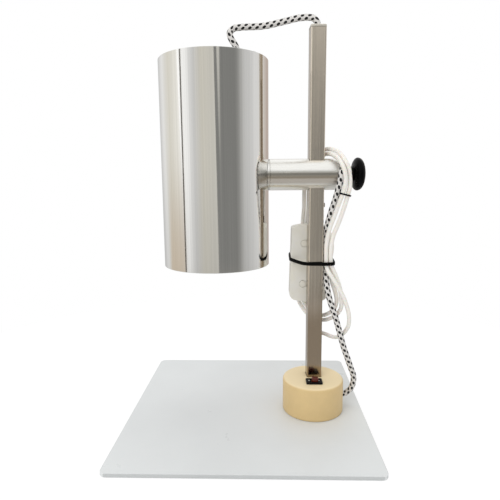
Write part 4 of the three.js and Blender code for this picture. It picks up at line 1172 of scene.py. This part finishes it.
class HEATLAMP_OT_box(bpy.types.Operator):
    """Builds the in-line box with its screw caps and glands"""

    bl_idname = "heatlamp.box"
    bl_label = "In-line Box"

    cap_x, cap_z = -8, 27.3
    cord_x = 8

    def execute(self, context):
        s = settings("box")
        width, height, depth = s.width / MM, s.height / MM, s.depth / MM
        self.shell("box_front", "box_front_shell", 1, width, height, depth)
        self.shell("box_back", "box_back_shell", -1, width, height, depth)
        for node, name, z in (
            ("box_cap_upper", "screw_cap_upper", self.cap_z),
            ("box_cap_lower", "screw_cap_lower", -self.cap_z),
        ):
            cap = turned([
                (0, -1.3), (4.4, -1.3), (4.5, -1.2), (4.5, 0.15), (4.3, 0.45), (3.8, 0.66),
                (2.4, 0.76), (0, 0.8),
            ], 48, ALONG_Y)
            piece(name, shifted(cap, self.cap_x, 0, z), "box_button", "arm", node, ON_BOX)
        end = height / 2 + BOX_BOW
        for name, node, bore, turn, look, slot in (
            ("box_bushing_upper", "box_gland_top", 3.9, 0, "knob_black", "black"),
            ("box_bushing_lower", "box_gland_bottom", 3.0, math.pi, "white_sheath", "white"),
        ):
            gland = turned([
                (bore, end - 6), (7, end - 6), (7, end - 4.2), (5, end - 4.2), (5, end + 1),
                (bore + 1.9, end + 5), (bore + 1.4, end + 8.6), (bore + 1.1, end + 9),
                (bore, end + 9), (bore, end - 6),
            ], 48, Matrix.Rotation(turn, 4, "X"))
            piece(name, shifted(gland, self.cord_x, depth / 2), look, "arm", node, ON_BOX)
        softened("terminal_block", "arm", "moulded_grey", 0.4)
        return {"FINISHED"}

    def shell(self, name, node, side, width, height, depth):
        """One half of the box, made face up and then stood upright."""
        deep = (depth - 0.3) / 2
        body = self.pillow(width, height, deep, (2.5, 6)[::side], 2.4)
        cuts = [self.pillow(width - 4, height - 4, deep - 2, (1, 4)[::side], 0, -3)]
        cuts.append(shifted(disc(5.3, -90, 90, along=ALONG_Y), self.cord_x, 0, -0.15))
        if side > 0:
            for z in (-self.cap_z, self.cap_z):
                cuts.append(shifted(disc(5.05, deep - 1.6, deep + 3, 0.05), self.cap_x, z))
        made = bored(body, *cuts)
        made.transform(Matrix.Rotation(side * math.pi / 2, 4, "X"))
        shifted(made, 0, deep if side > 0 else depth - deep)
        piece(name, made, "box_shell", "arm", node, ON_BOX, level=True)

    def pillow(self, width, height, deep, corners, edge, low=0.0):
        """A block whose two short ends bow outwards, rounded on its face."""
        bm = box(width, height, low, deep)
        for side, corner in zip((1, -1), corners):
            ends = [e for e in upright(bm) if e.verts[0].co.y * side > 0.45 * height * MM]
            rounded(bm, ends, corner, 7)
        reach = width / 2 - max(corners)
        for step in range(-5, 6):
            sliced(bm, (reach * step / 5 * MM, 0, 0), (1, 0, 0))
        for vert in bm.verts:
            x, y = vert.co.x / MM, vert.co.y / MM
            share = max(0, abs(y) - height / 4) / (height / 4)
            bow = BOX_BOW * (1 - (2 * x / width) ** 2) * min(share, 1)
            vert.co.y += math.copysign(bow * MM, y)
        if edge:
            rounded(bm, creases(rim(bm, deep), 1), edge, 6)
        return bm


# Routes of the cords, in millimetres

LAMP_CORD = [
    (-4.17, -3.70, 439.6), (-4.77, -3.70, 446.6), (-9.8, -5, 467.5), (-15, -5, 476),
    (-16.8, -4, 483), (-12.5, -3, 488.3), (-2.5, -2, 490.2), (12.1, -1, 490.8), (25.9, 0, 492),
    (50.1, 1, 497), (64, 1, 500), (75, 1.1, 501), (82.6, 1.1, 500.4), (87.6, 1.2, 497),
    (89.3, 1.2, 491.4), (89.3, 1.2, 487.8), (89.3, 1.2, 483.6),
]
INNER_CABLE = [
    (88.9, -18.2, 18), (90, -13, 21), (89.85, -9.5, 22), (89.7, -6.2, 22.8), (89.5, -1.6, 27),
    (89.3, 1.2, 36), (89.3, 1.2, 200), (89.3, 1.2, 350), (89.3, 1.2, 483.3),
]
SUPPLY_LEAD = [
    (116.85, -1.15, 18.9), (122.72, 0.10, 18.9), (127.81, 1.18, 18.9), (131.4, 2.1, 19.4),
    (135.4, 2.5, 21.2), (139.2, 2, 25), (142.2, 1, 31.2), (143.4, -0.4, 39), (142.8, -2, 47.8),
    (139.4, -3.8, 57), (134.9, -6.3, 69.7), (127.6, -8.4, 90), (120.7, -9.3, 114.6),
    (114.8, -9.5, 134.5), (109, -9, 151.4), (105.6, -6.4, 166), (104.1, -3, 178.8),
    (103.2, 1.6, 191), (103, 4, 203), (102.9, 4, 218), (102.9, 1.8, 236), (104.5, -4.4, 251),
    (107.7, -12, 268), (112.3, -15, 284.3), (115.4, -20, 299), (117.2, -21.4, 308.6),
    (117.9, -21.4, 314.4), (119, -20.8, 318.8), (121, -17.9, 322.4), (122.8, -12.4, 325.3),
    (123.3, -4, 325.9), (123.2, 6, 325), (122.6, 15.6, 321.8), (119.2, 26.2, 316.8),
    (110, 31, 309), (101, 31, 296), (95.2, 27.2, 281), (94.12, 25.7, 265.24),
    (93.82, 25.7, 258.24),
]
OUTER_LOOP = [
    (90.17, 25.7, 135.29), (89.92, 25.7, 129.89), (89.2, 24.4, 122.5), (92, 20, 110.6),
    (98.5, 15.8, 102.6), (107.9, 12, 99.8), (115, 9, 97.6), (121.5, 5, 98.6),
    (127.8, 0.5, 104.6), (131.9, -3, 111.4), (134.2, -6, 119.5), (133.7, -8.5, 132.4),
]
FIRST_UP = [
    (131.5, -9, 142), (127.8, -9.8, 152.5), (123.8, -10.3, 161.5), (115.3, -10.3, 176.2),
    (106.5, -7.8, 190), (104, -6.6, 196.4), (103.2, -6.2, 204.7), (102.9, -6.4, 214),
    (103, -6.9, 224), (104.5, -8.8, 238), (107.2, -12.3, 250.5), (110.7, -15.5, 261.5),
    (113.8, -18.5, 272), (116.7, -21.6, 282), (119.3, -24.6, 290.5), (121.3, -26.3, 298.5),
    (122.1, -27, 305.8), (121.6, -27.6, 312), (120.2, -27.5, 318.8), (117.8, -25, 325.4),
    (114.8, -18.5, 332), (111.5, -10, 336.1), (107.6, -1, 339.3), (103.8, 8, 340),
]
FIRST_DOWN = [
    (100.6, 14.8, 339.2), (96.5, 19, 336.6), (92.3, 22.8, 332), (89.1, 26.3, 323.8),
    (86.2, 27.7, 313.8), (83.9, 27.4, 302), (83.3, 26.4, 290), (83.3, 30, 271), (83.1, 36, 261),
    (83, 42, 253), (83.2, 43.4, 244), (83, 47, 232), (80.8, 49.6, 220), (76.8, 50.2, 204),
    (72.6, 47.4, 172), (71.4, 44.2, 153.5),
]
MIDDLE_LOOP = [
    (71.5, 42.6, 148), (71.8, 38.8, 140.8), (75.4, 30.4, 134), (80.8, 21.2, 128.2),
    (88.4, 16, 122.4), (101.8, 14, 119.7), (107.7, 10, 121.3), (117.3, 4, 128.2),
    (121.3, 1, 133.5), (124.1, -1.5, 139.9),
]
SECOND_UP = [
    (124.8, -3, 146.3), (123.8, -4, 154.3), (122.1, -4.3, 167.2), (116.1, -4.3, 185),
    (112.6, -4.8, 192.7), (110, -5.4, 198.7), (109.1, -6, 204.6), (108.8, -6.4, 214),
    (109.1, -7, 224), (111.6, -8.8, 238), (115.8, -12, 250.2), (119.2, -15.5, 261.5),
    (122, -18.5, 272), (124.4, -21.4, 282), (125.9, -23.4, 290), (127.8, -23.6, 297.5),
    (128.2, -23, 305.8), (127.5, -22.8, 313.4), (126.2, -23.2, 320.9), (122.8, -21.6, 328.5),
    (119.2, -14, 336.2), (114.9, -7, 341.9), (109.3, 1, 345.2), (105.4, 7, 346),
]
SECOND_DOWN = [
    (101.4, 12.2, 345.8), (96, 16, 344.2), (90.2, 20.8, 339.4), (85, 24.6, 331.5),
    (80.8, 26.8, 318.3), (78, 27.2, 303), (77.2, 26.4, 290), (77.3, 30, 271), (77.2, 36, 261),
    (77.1, 42, 253), (77.1, 42.6, 244), (77.5, 42.6, 228), (79.2, 42.6, 204), (79.2, 42.6, 172),
    (77.8, 43.8, 155.5),
]
INNER_LOOP = [
    (77.7, 43, 149.2), (77.7, 40, 142.8), (80.6, 29.8, 136.8), (84.4, 21.6, 133.4),
    (88.8, 17.4, 129.2), (101.7, 14, 126.2), (107.4, 9, 129.1), (111.9, 5.5, 133),
    (116.1, 3, 138.1), (118.3, 1.5, 144.2),
]
TO_PLUG = [
    (118.9, 1, 150.4), (117.5, 1.2, 159.1), (112.7, 2, 174.3), (110.6, 2.2, 185),
    (109.7, 2.2, 195), (109.8, 3, 205), (111.9, 8, 213), (113.8, 17, 220), (114.4, 28, 227),
    (113.6, 38, 234), (109.6, 45.6, 238.4), (103.6, 48.6, 239.6), (99.8, 48.8, 236),
    (98.8, 48.8, 229.4), (98.8, 48.8, 224.3),
]

SUPPLY_EXIT = Vector((126.8, 1.0, 18.9)) * MM
PLUG_PLACE = Vector((98.8, 48.8, 216)) * MM
# How far apart the points of each route are
CORD_STEP, LEAD_STEP, HIDDEN_STEP, RELIEF_STEP = 0.0012, 0.0016, 0.004, 0.0005
# Where the lamp cord is cut in two, by its X, and the heights of its points in the post
CORD_CUT = 0.068
CORD_IN_POST = (450, 400, 345)
# How long a strain relief is, and how thick it ends
RELIEF_LENGTH, RELIEF_END = 0.02, 0.0061


def relief(name, line, thick, thin, look, body, ribs=5):
    """A tapered, ribbed strain relief that follows a cord from its exit."""
    line = evenly(line, RELIEF_STEP)
    widths = []
    for number in range(len(line)):
        share = number / (len(line) - 1)
        width = thick + (thin - thick) * share
        groove = math.cos(share * ribs * math.tau) < -0.3 and 0.08 < share < 0.92
        widths.append(width * (0.86 if groove else 1.0) / thick)
    made = cord_mesh(name, line, thick, look, widths)
    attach(made, body)
    return made


def halved(made, point, keep_positive):
    """Cuts a cord's mesh at a point, keeps one side along X and closes the cut."""
    bm = bmesh.new()
    bm.from_mesh(made.data)
    sliced(bm, point, (1, 0, 0), clear_inner=keep_positive, clear_outer=not keep_positive)
    bmesh.ops.holes_fill(bm, edges=[e for e in bm.edges if e.is_boundary], sides=0)
    bm.to_mesh(made.data)
    bm.free()


class HEATLAMP_OT_braided_cords(bpy.types.Operator):
    """Builds the braided lamp cord, the braided supply lead and the cable in the post"""

    bl_idname = "heatlamp.braided_cords"
    bl_label = "Braided Cords"

    def execute(self, context):
        wide = settings("cords").braid_diameter
        down = [(POST_X / MM, POST_Y / MM, height) for height in CORD_IN_POST]
        line = route([*LAMP_CORD[:-1], *down], CORD_STEP)
        crossing = next(p for p in line if p.x > CORD_CUT)
        number = line.index(crossing)
        made = cord_mesh("lamp_cord_post", line, wide, "braided_sleeve")
        halved(made, crossing, True)
        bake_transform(made)
        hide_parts("lamp_cord")
        self.cord(made, line[number:], wide, line[-1])
        made = cord_mesh("lamp_cord_head", line, wide, "braided_sleeve")
        halved(made, crossing, False)
        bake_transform(made)
        self.cord(made, line[: number + 1], wide, line[0])
        line = route(SUPPLY_LEAD, CORD_STEP)
        made = cord_mesh("supply_cord", line, wide, "braided_sleeve")
        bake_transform(made)
        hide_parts("supply_lead")
        self.cord(made, line, wide, SUPPLY_EXIT)
        inner = [*INNER_CABLE[:-2], (POST_X / MM, POST_Y / MM, CORD_IN_POST[-1] - 1)]
        inner = route(inner, HIDDEN_STEP)
        made = cord_curve("cable_in_post", inner, 0.005, "braided_sleeve")
        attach(made, "base")
        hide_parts("post_cable")
        return {"FINISHED"}

    def cord(self, made, line, wide, start):
        """Left empty: it does nothing with the cord."""


class HEATLAMP_OT_mains_lead(bpy.types.Operator):
    """Builds the white mains lead wound as a hank, with its plug"""

    bl_idname = "heatlamp.mains_lead"
    bl_label = "Mains Lead And Plug"

    def execute(self, context):
        wide = settings("cords").lead_diameter
        line = route([
            *OUTER_LOOP, *FIRST_UP, *FIRST_DOWN, *MIDDLE_LOOP, *SECOND_UP, *SECOND_DOWN,
            *INNER_LOOP, *TO_PLUG,
        ], LEAD_STEP)
        long = length_of(line)
        lead = cord_curve("mains_flex", line, wide, "white_sheath")
        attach(lead, "arm")
        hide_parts("mains_lead")
        at_box = section(line, 0, RELIEF_LENGTH)
        at_plug = section(line, long - RELIEF_LENGTH - 0.0015, long - 0.0005)[::-1]
        start = relief("relief_at_box", at_box, 0.0098, RELIEF_END, "white_sheath", "arm")
        end = relief("relief_at_plug", at_plug, 0.0094, RELIEF_END, "white_sheath", "arm")
        plug = self.plug(Matrix.Translation(PLUG_PLACE))
        return {"FINISHED"}

    def plug(self, place):
        """A moulded two-blade plug with finger grips."""
        grips = [
            shifted(rounded_block(1.6, 10, low, low + 2, 0.6, 0.3, steps=3), side * 12.3, 0)
            for side in (-1, 1) for low in (-30, -25.8, -21.6, -17.4)
        ]
        body = bored(rounded_block(24, 17, -38, 0, 5, 1.6), *grips)
        collar = [(0, -2), (6.6, -2), (6.4, 2), (5.6, 5), (5.2, 8), (4.9, 8.4), (0, 8.4)]
        join(body, turned(collar, 64))
        parts = [piece(
            "plug_body", body, "white_sheath", "arm", "mains_plug", place, level=True,
        )]
        for name, side in (("plug_blade_left", -1), ("plug_blade_right", 1)):
            blade = box(1.5, 6.3, -55, -36)
            tip = [e for e in rim(blade, -55) if abs(e.verts[0].co.y - e.verts[1].co.y) < 1e-6]
            rounded(blade, tip, 1.2, 3)
            blade = bored(blade, shifted(disc(1.6, -4, 4, 0.1, 32, ALONG_X), 0, 0, -50))
            blade = shifted(blade, side * 6.35, 0)
            parts.append(piece(name, blade, "contact_metal", "arm", place=place))
        return parts


# What the ties go round: (x, y, radius) in millimetres
BIG_TIE_ROUND = [
    (103.6, -6.6, 2.7), (109.7, -5.9, 2.7), (109.9, 3, 2.7), (62.2, 15.2, 3), (62.6, 36.6, 3),
    (78.6, 50, 2.9), (105.8, 52.3, 5), (91.8, 52.3, 5), (70.6, 1.2, 2), (66, 7.6, 2),
    (75.6, -4.2, 2),
]
THIN_TIE_ROUND = [(-3.3, -0.5, 2.7), (3.3, 0.5, 2.7)]
BIG_TIE_TILT = math.radians(6)
BIG_TIE_HEIGHT = 0.2012
TIE_LOCK = Matrix.Translation((0.067, 0.0562, 0)) @ Matrix.Rotation(0.7, 4, "Z")
THIN_TIE_PLACE = Vector((122.5, -23.8, 289.4)) * MM
THIN_TIE_AXIS = Vector((0.252, -0.016, 0.968))


def taut(circles, grow, low, high):
    """A block with the outline that a band takes when drawn round circles."""
    bm = bmesh.new()
    for x, y, radius in circles:
        for height in (low, high):
            place = Matrix.Translation((x * MM, y * MM, height * MM))
            bmesh.ops.create_circle(bm, segments=48, radius=(radius + grow) * MM, matrix=place)
    made = bmesh.ops.convex_hull(bm, input=bm.verts)
    spare = [g for g in made["geom_interior"] if isinstance(g, bmesh.types.BMVert)]
    bmesh.ops.delete(bm, geom=spare, context="VERTS")
    bmesh.ops.recalc_face_normals(bm, faces=bm.faces)
    bmesh.ops.dissolve_limit(bm, angle_limit=math.radians(0.5), verts=bm.verts, edges=bm.edges)
    return bm


def band(circles, clearance, thick, width, edge):
    """A flat band drawn round circles, with softly rounded edges."""
    outer = taut(circles, clearance + thick, -width / 2, width / 2)
    inner = taut(circles, clearance, -width / 2 - 1, width / 2 + 1)
    bm = bored(outer, inner)
    return rounded(bm, creases(bm.edges, math.radians(60)), edge, 3, clamp=False)


class HEATLAMP_OT_ties(bpy.types.Operator):
    """Builds the big tie round the post, the box and the hank, and the thin one"""

    bl_idname = "heatlamp.ties"
    bl_label = "Ties"

    def execute(self, context):
        front = POST_Y / MM - POST_WIDTH / 2 / MM
        reach = POST_WIDTH / 2 / MM - POST_CORNER
        c, s = math.cos(POST_TURN), math.sin(POST_TURN)
        middle_x, middle_y = POST_X / MM, POST_Y / MM
        corners = [
            (middle_x + (side * c + s) * reach, middle_y + (side * s - c) * reach, POST_CORNER)
            for side in (-1, 1)
        ]
        circles = [
            (x, (y - front) / math.cos(BIG_TIE_TILT), radius)
            for x, y, radius in [*corners, *BIG_TIE_ROUND]
        ]
        tilt = Matrix.Rotation(BIG_TIE_TILT, 4, "X")
        place = Matrix.Translation((0, front * MM, BIG_TIE_HEIGHT)) @ tilt
        big = band(circles, clearance=0.5, thick=1.8, width=4.6, edge=0.8)
        piece("big_tie", big, "tie_black", "arm", "tie_big", place, sharp=50)
        lock = rounded_block(6.5, 5.2, -3.4, 3.4, 1, 0.7, steps=4)
        piece("big_tie_lock", lock, "tie_black", "arm", place=place @ TIE_LOCK)
        turn = Vector((0, 0, 1)).rotation_difference(THIN_TIE_AXIS).to_matrix().to_4x4()
        place = Matrix.Translation(THIN_TIE_PLACE) @ turn
        thin = band(THIN_TIE_ROUND, clearance=0.5, thick=1, width=2, edge=0.42)
        piece("thin_tie", thin, "tie_black", "arm", "tie_thin", place, sharp=50)
        return {"FINISHED"}


# Stage


CAMERA_PLACE = Vector((0.0231, -0.5792, 0.3068))
CAMERA_YAW, CAMERA_PITCH, CAMERA_ROLL = (math.radians(a) for a in (-1.77, 8.71, -0.49))
CAMERA_FOCAL = 450.47
PICTURE_WIDTH = 500
SENSOR_WIDTH = 36
KEY_PLACE, FILL_PLACE = (-0.7, -1.2, 1.2), (0.1, 0.35, 1.75)
LAMP_SIZE = 1.2
LAMP_AIM = Vector((0, 0, 0.2))
FLOOR_DROP = 0.0004
PAPER_TONE, PAPER_GLOW, PAPER_DIM = 0.26, 0.79, -0.4
METAL_LIGHT = 1.17
WHITE = (1, 1, 1)

# What metal shows of the room: degrees from the front towards the right, and a colour
ROOM_WALLS = [
    (-180, 210), (-150, 193), (-126, 224), (-100, (212, 209, 200)), (-78, (225, 223, 217)),
    (-60, 240), (-52, 236), (-44, 212), (-37, 198), (-20, (197, 194, 185)), (75, 190),
    (105, 213), (125, (210, 205, 200)), (148, (180, 167, 159)),
]
ROOM_DARK = linear(122, 122, 120)
ROOM_WOOD = linear(190, 174, 154)
ROOM_BAR = linear(70, 64, 56)
# Strips of the walls: left and right in degrees, how soft their borders are, and how many
# degrees the left one moves as the strip rises
WOOD_STRIP = (-112, -64, 6)
DOOR_STRIP = (16.9, 17.4, 0.7, 5.0)
BAR_STRIP = (-66.4, -62.9, 0.5)
LIGHT_STRIP = (-66.5, -66.6, 0.5, 6.5)
PANEL_LEFT, PANEL_RIGHT, PANEL_SLANT = (8.7, 9.5), (48, 74), 2.6
# Its ceiling and its ground, by the sine of the angle above the horizon
ROOM_HEIGHTS = [
    (-1.0, (196, 192, 180)), (-0.87, (173, 163, 152)), (-0.3, (146, 142, 133)), (0.3, 200),
    (0.46, 224), (0.6, 240), (0.8, 246), (1.0, 241),
]


class HEATLAMP_OT_stage(bpy.types.Operator):
    """Builds the camera, the pale floor, the room and the lamps"""

    bl_idname = "heatlamp.stage"
    bl_label = "Stage"

    def execute(self, context):
        s = settings("stage")
        context.scene.view_settings.view_transform = "Standard"
        self.camera(context)
        self.floor(s)
        self.room(context, s.sky)
        self.lamp("key_lamp", KEY_PLACE, s.key)
        self.lamp("fill_lamp", FILL_PLACE, s.fill)
        return {"FINISHED"}

    def camera(self, context):
        """The view of the picture."""
        data = bpy.data.cameras.new("view_camera")
        data.sensor_width = SENSOR_WIDTH
        data.lens = SENSOR_WIDTH * CAMERA_FOCAL / PICTURE_WIDTH
        made = linked("view_camera", data)
        ahead = Vector((
            math.sin(CAMERA_YAW) * math.cos(CAMERA_PITCH),
            math.cos(CAMERA_YAW) * math.cos(CAMERA_PITCH),
            -math.sin(CAMERA_PITCH),
        ))
        right = Vector((math.cos(CAMERA_YAW), -math.sin(CAMERA_YAW), 0))
        up = right.cross(ahead)
        c, s = math.cos(CAMERA_ROLL), math.sin(CAMERA_ROLL)
        turn = Matrix((c * right + s * up, c * up - s * right, -ahead)).transposed().to_4x4()
        made.matrix_world = Matrix.Translation(CAMERA_PLACE) @ turn
        context.scene.camera = made

    def floor(self, s):
        """Pale paper that takes the shadow. The camera and metal see it brighter than it is."""
        bm = bmesh.new()
        bmesh.ops.create_circle(bm, cap_ends=True, segments=96, radius=s.floor_radius)
        made = object_of("floor", bm)
        f = Finish("floor_paper", tuple(s.floor), 0.9, Specular_IOR_Level=0.0)
        f.set("Base Color", f.tint(f.noise(60), scaled(tuple(s.floor), 0.985), tuple(s.floor)))
        path = f.node("LightPath").outputs
        seen = f.math("MAXIMUM", path["Is Camera Ray"], path["Is Transmission Ray"])
        seen = f.math("MAXIMUM", seen, path["Is Glossy Ray"])
        paper = f.node("BsdfDiffuse", {"Color": (PAPER_TONE,) * 3}).outputs[0]
        glow = f.math("MULTIPLY_ADD", path["Is Glossy Ray"], PAPER_DIM, PAPER_GLOW)
        glow = f.node("Emission", {"Color": WHITE, "Strength": glow}).outputs[0]
        lit = f.node("AddShader", {0: paper, 1: glow}).outputs[0]
        shown = f.mixed(seen, f.shader.outputs[0], lit)
        f.put(f.tree.nodes["Material Output"].inputs["Surface"], shown)
        made.data.materials.append(f.material)
        made.location.z = -FLOOR_DROP

    def lamp(self, name, place, power):
        """A square lamp that metal doesn't show."""
        data = bpy.data.lights.new(name, "AREA")
        data.energy = power
        data.size = LAMP_SIZE
        made = linked(name, data)
        made.location = place
        made.rotation_euler = (LAMP_AIM - Vector(place)).to_track_quat("-Z", "Y").to_euler()
        made.visible_glossy = False

    def room(self, context, sky):
        """White to the camera, soft light on the object, and a pale room for metal to show."""
        world = bpy.data.worlds.new("studio")
        context.scene.world = world
        world.use_nodes = True
        world.node_tree.nodes.clear()
        n = Nodes(world.node_tree)
        x, y, z = n.parts(n.node("TexCoord").outputs["Generated"])
        turn = n.math("ARCTAN2", x, n.math("MULTIPLY", y, -1.0))
        about = n.remap(turn, -math.pi, math.pi, -180, 180)
        low = n.remap(z, -0.22, 0.1, 1, 0, True)
        rise = n.remap(z, -0.12, 0.28)

        def fade(value, middle, soft, first=0):
            """A step at a value, from nought to one or the other way."""
            return n.remap(value, middle - soft, middle + soft, first, 1 - first, True)

        def strip(left, right, soft, slant=0.0):
            """One between two angles, with soft borders. The left one moves as it rises."""
            inside = fade(n.math("MULTIPLY_ADD", rise, slant, about), left, soft)
            return n.math("MULTIPLY", inside, fade(about, right, soft, 1))

        def part(share, most):
            return n.math("MULTIPLY", share, most)

        n.body = n.ramp(about, -180, 180, ROOM_WALLS)
        n.coat(part(low, 0.2), ROOM_DARK)
        n.coat(part(strip(*WOOD_STRIP), part(low, 0.75)), ROOM_WOOD)
        slanted = n.math("MULTIPLY_ADD", rise, PANEL_SLANT, about)
        panel = n.remap(slanted, *PANEL_LEFT, 0, 1, True)
        panel = part(panel, n.remap(about, *PANEL_RIGHT, 1, 0, True))
        door = part(strip(*DOOR_STRIP), n.remap(rise, 0.4, 1, 0.12, 0.95))
        n.coat(part(panel, n.math("SUBTRACT", 1.0, door)), ROOM_DARK)
        n.coat(part(strip(*BAR_STRIP), 0.95), ROOM_BAR)
        n.coat(part(strip(*LIGHT_STRIP), n.remap(rise, 0.2, 0.6)), WHITE)
        high = n.remap(z, 0.28, 0.5, 0, 1, True)
        deep = n.remap(z, -0.32, -0.17, 1, 0, True)
        n.coat(n.math("ADD", high, deep), n.ramp(z, -1, 1, ROOM_HEIGHTS))
        path = n.node("LightPath").outputs
        seen = n.math("MAXIMUM", path["Is Camera Ray"], path["Is Transmission Ray"])
        soft, gloss, white = (
            n.node("Background", {"Color": colour, "Strength": strength}).outputs[0]
            for colour, strength in ((WHITE, sky), (n.body, METAL_LIGHT), (WHITE, 1.0))
        )
        lit = n.mixed(path["Is Glossy Ray"], soft, gloss)
        n.node("OutputWorld", {"Surface": n.mixed(seen, lit, white)})


# The add-on's own parts


GROUPS = {
    "plate": PlateSettings,
    "post": PostSettings,
    "arm": ArmSettings,
    "head": HeadSettings,
    "box": BoxSettings,
    "cords": CordSettings,
    "stage": StageSettings,
}
OPERATORS = [
    HEATLAMP_OT_stage, HEATLAMP_OT_braided_cords, HEATLAMP_OT_mains_lead, HEATLAMP_OT_plate,
    HEATLAMP_OT_hub, HEATLAMP_OT_post, HEATLAMP_OT_switch, HEATLAMP_OT_arm, HEATLAMP_OT_head,
    HEATLAMP_OT_box, HEATLAMP_OT_ties,
]


class HEATLAMP_PT_panel(bpy.types.Panel):
    """Lists the sizes, the colours and the steps that build the lamp"""

    bl_label = "Heat Lamp"
    bl_idname = "HEATLAMP_PT_panel"
    bl_space_type = "VIEW_3D"
    bl_region_type = "UI"
    bl_category = "Heat Lamp"

    def draw(self, context):
        for name, group in GROUPS.items():
            area = self.layout.box()
            area.label(text=name.capitalize())
            for key in group.__annotations__:
                area.prop(settings(name), key)
        column = self.layout.column()
        for operator in OPERATORS:
            column.operator(operator.bl_idname)


def register():
    for name, group in GROUPS.items():
        bpy.utils.register_class(group)
        pointer = bpy.props.PointerProperty(type=group)
        setattr(bpy.types.Scene, "heat_lamp_" + name, pointer)
    for kind in [*OPERATORS, HEATLAMP_PT_panel]:
        bpy.utils.register_class(kind)


def unregister():
    for kind in [HEATLAMP_PT_panel, *reversed(OPERATORS)]:
        bpy.utils.unregister_class(kind)
    for name, group in GROUPS.items():
        delattr(bpy.types.Scene, "heat_lamp_" + name)
        bpy.utils.unregister_class(group)


def main():
    register()
    bpy.ops.heatlamp.stage()
    bpy.ops.heatlamp.braided_cords()
    bpy.ops.heatlamp.mains_lead()
    bpy.ops.heatlamp.plate()
    bpy.ops.heatlamp.hub()
    bpy.ops.heatlamp.post()
    bpy.ops.heatlamp.switch()
    bpy.ops.heatlamp.arm()
    bpy.ops.heatlamp.head()
    bpy.ops.heatlamp.box()
    bpy.ops.heatlamp.ties()


if __name__ == "__main__":
    main()
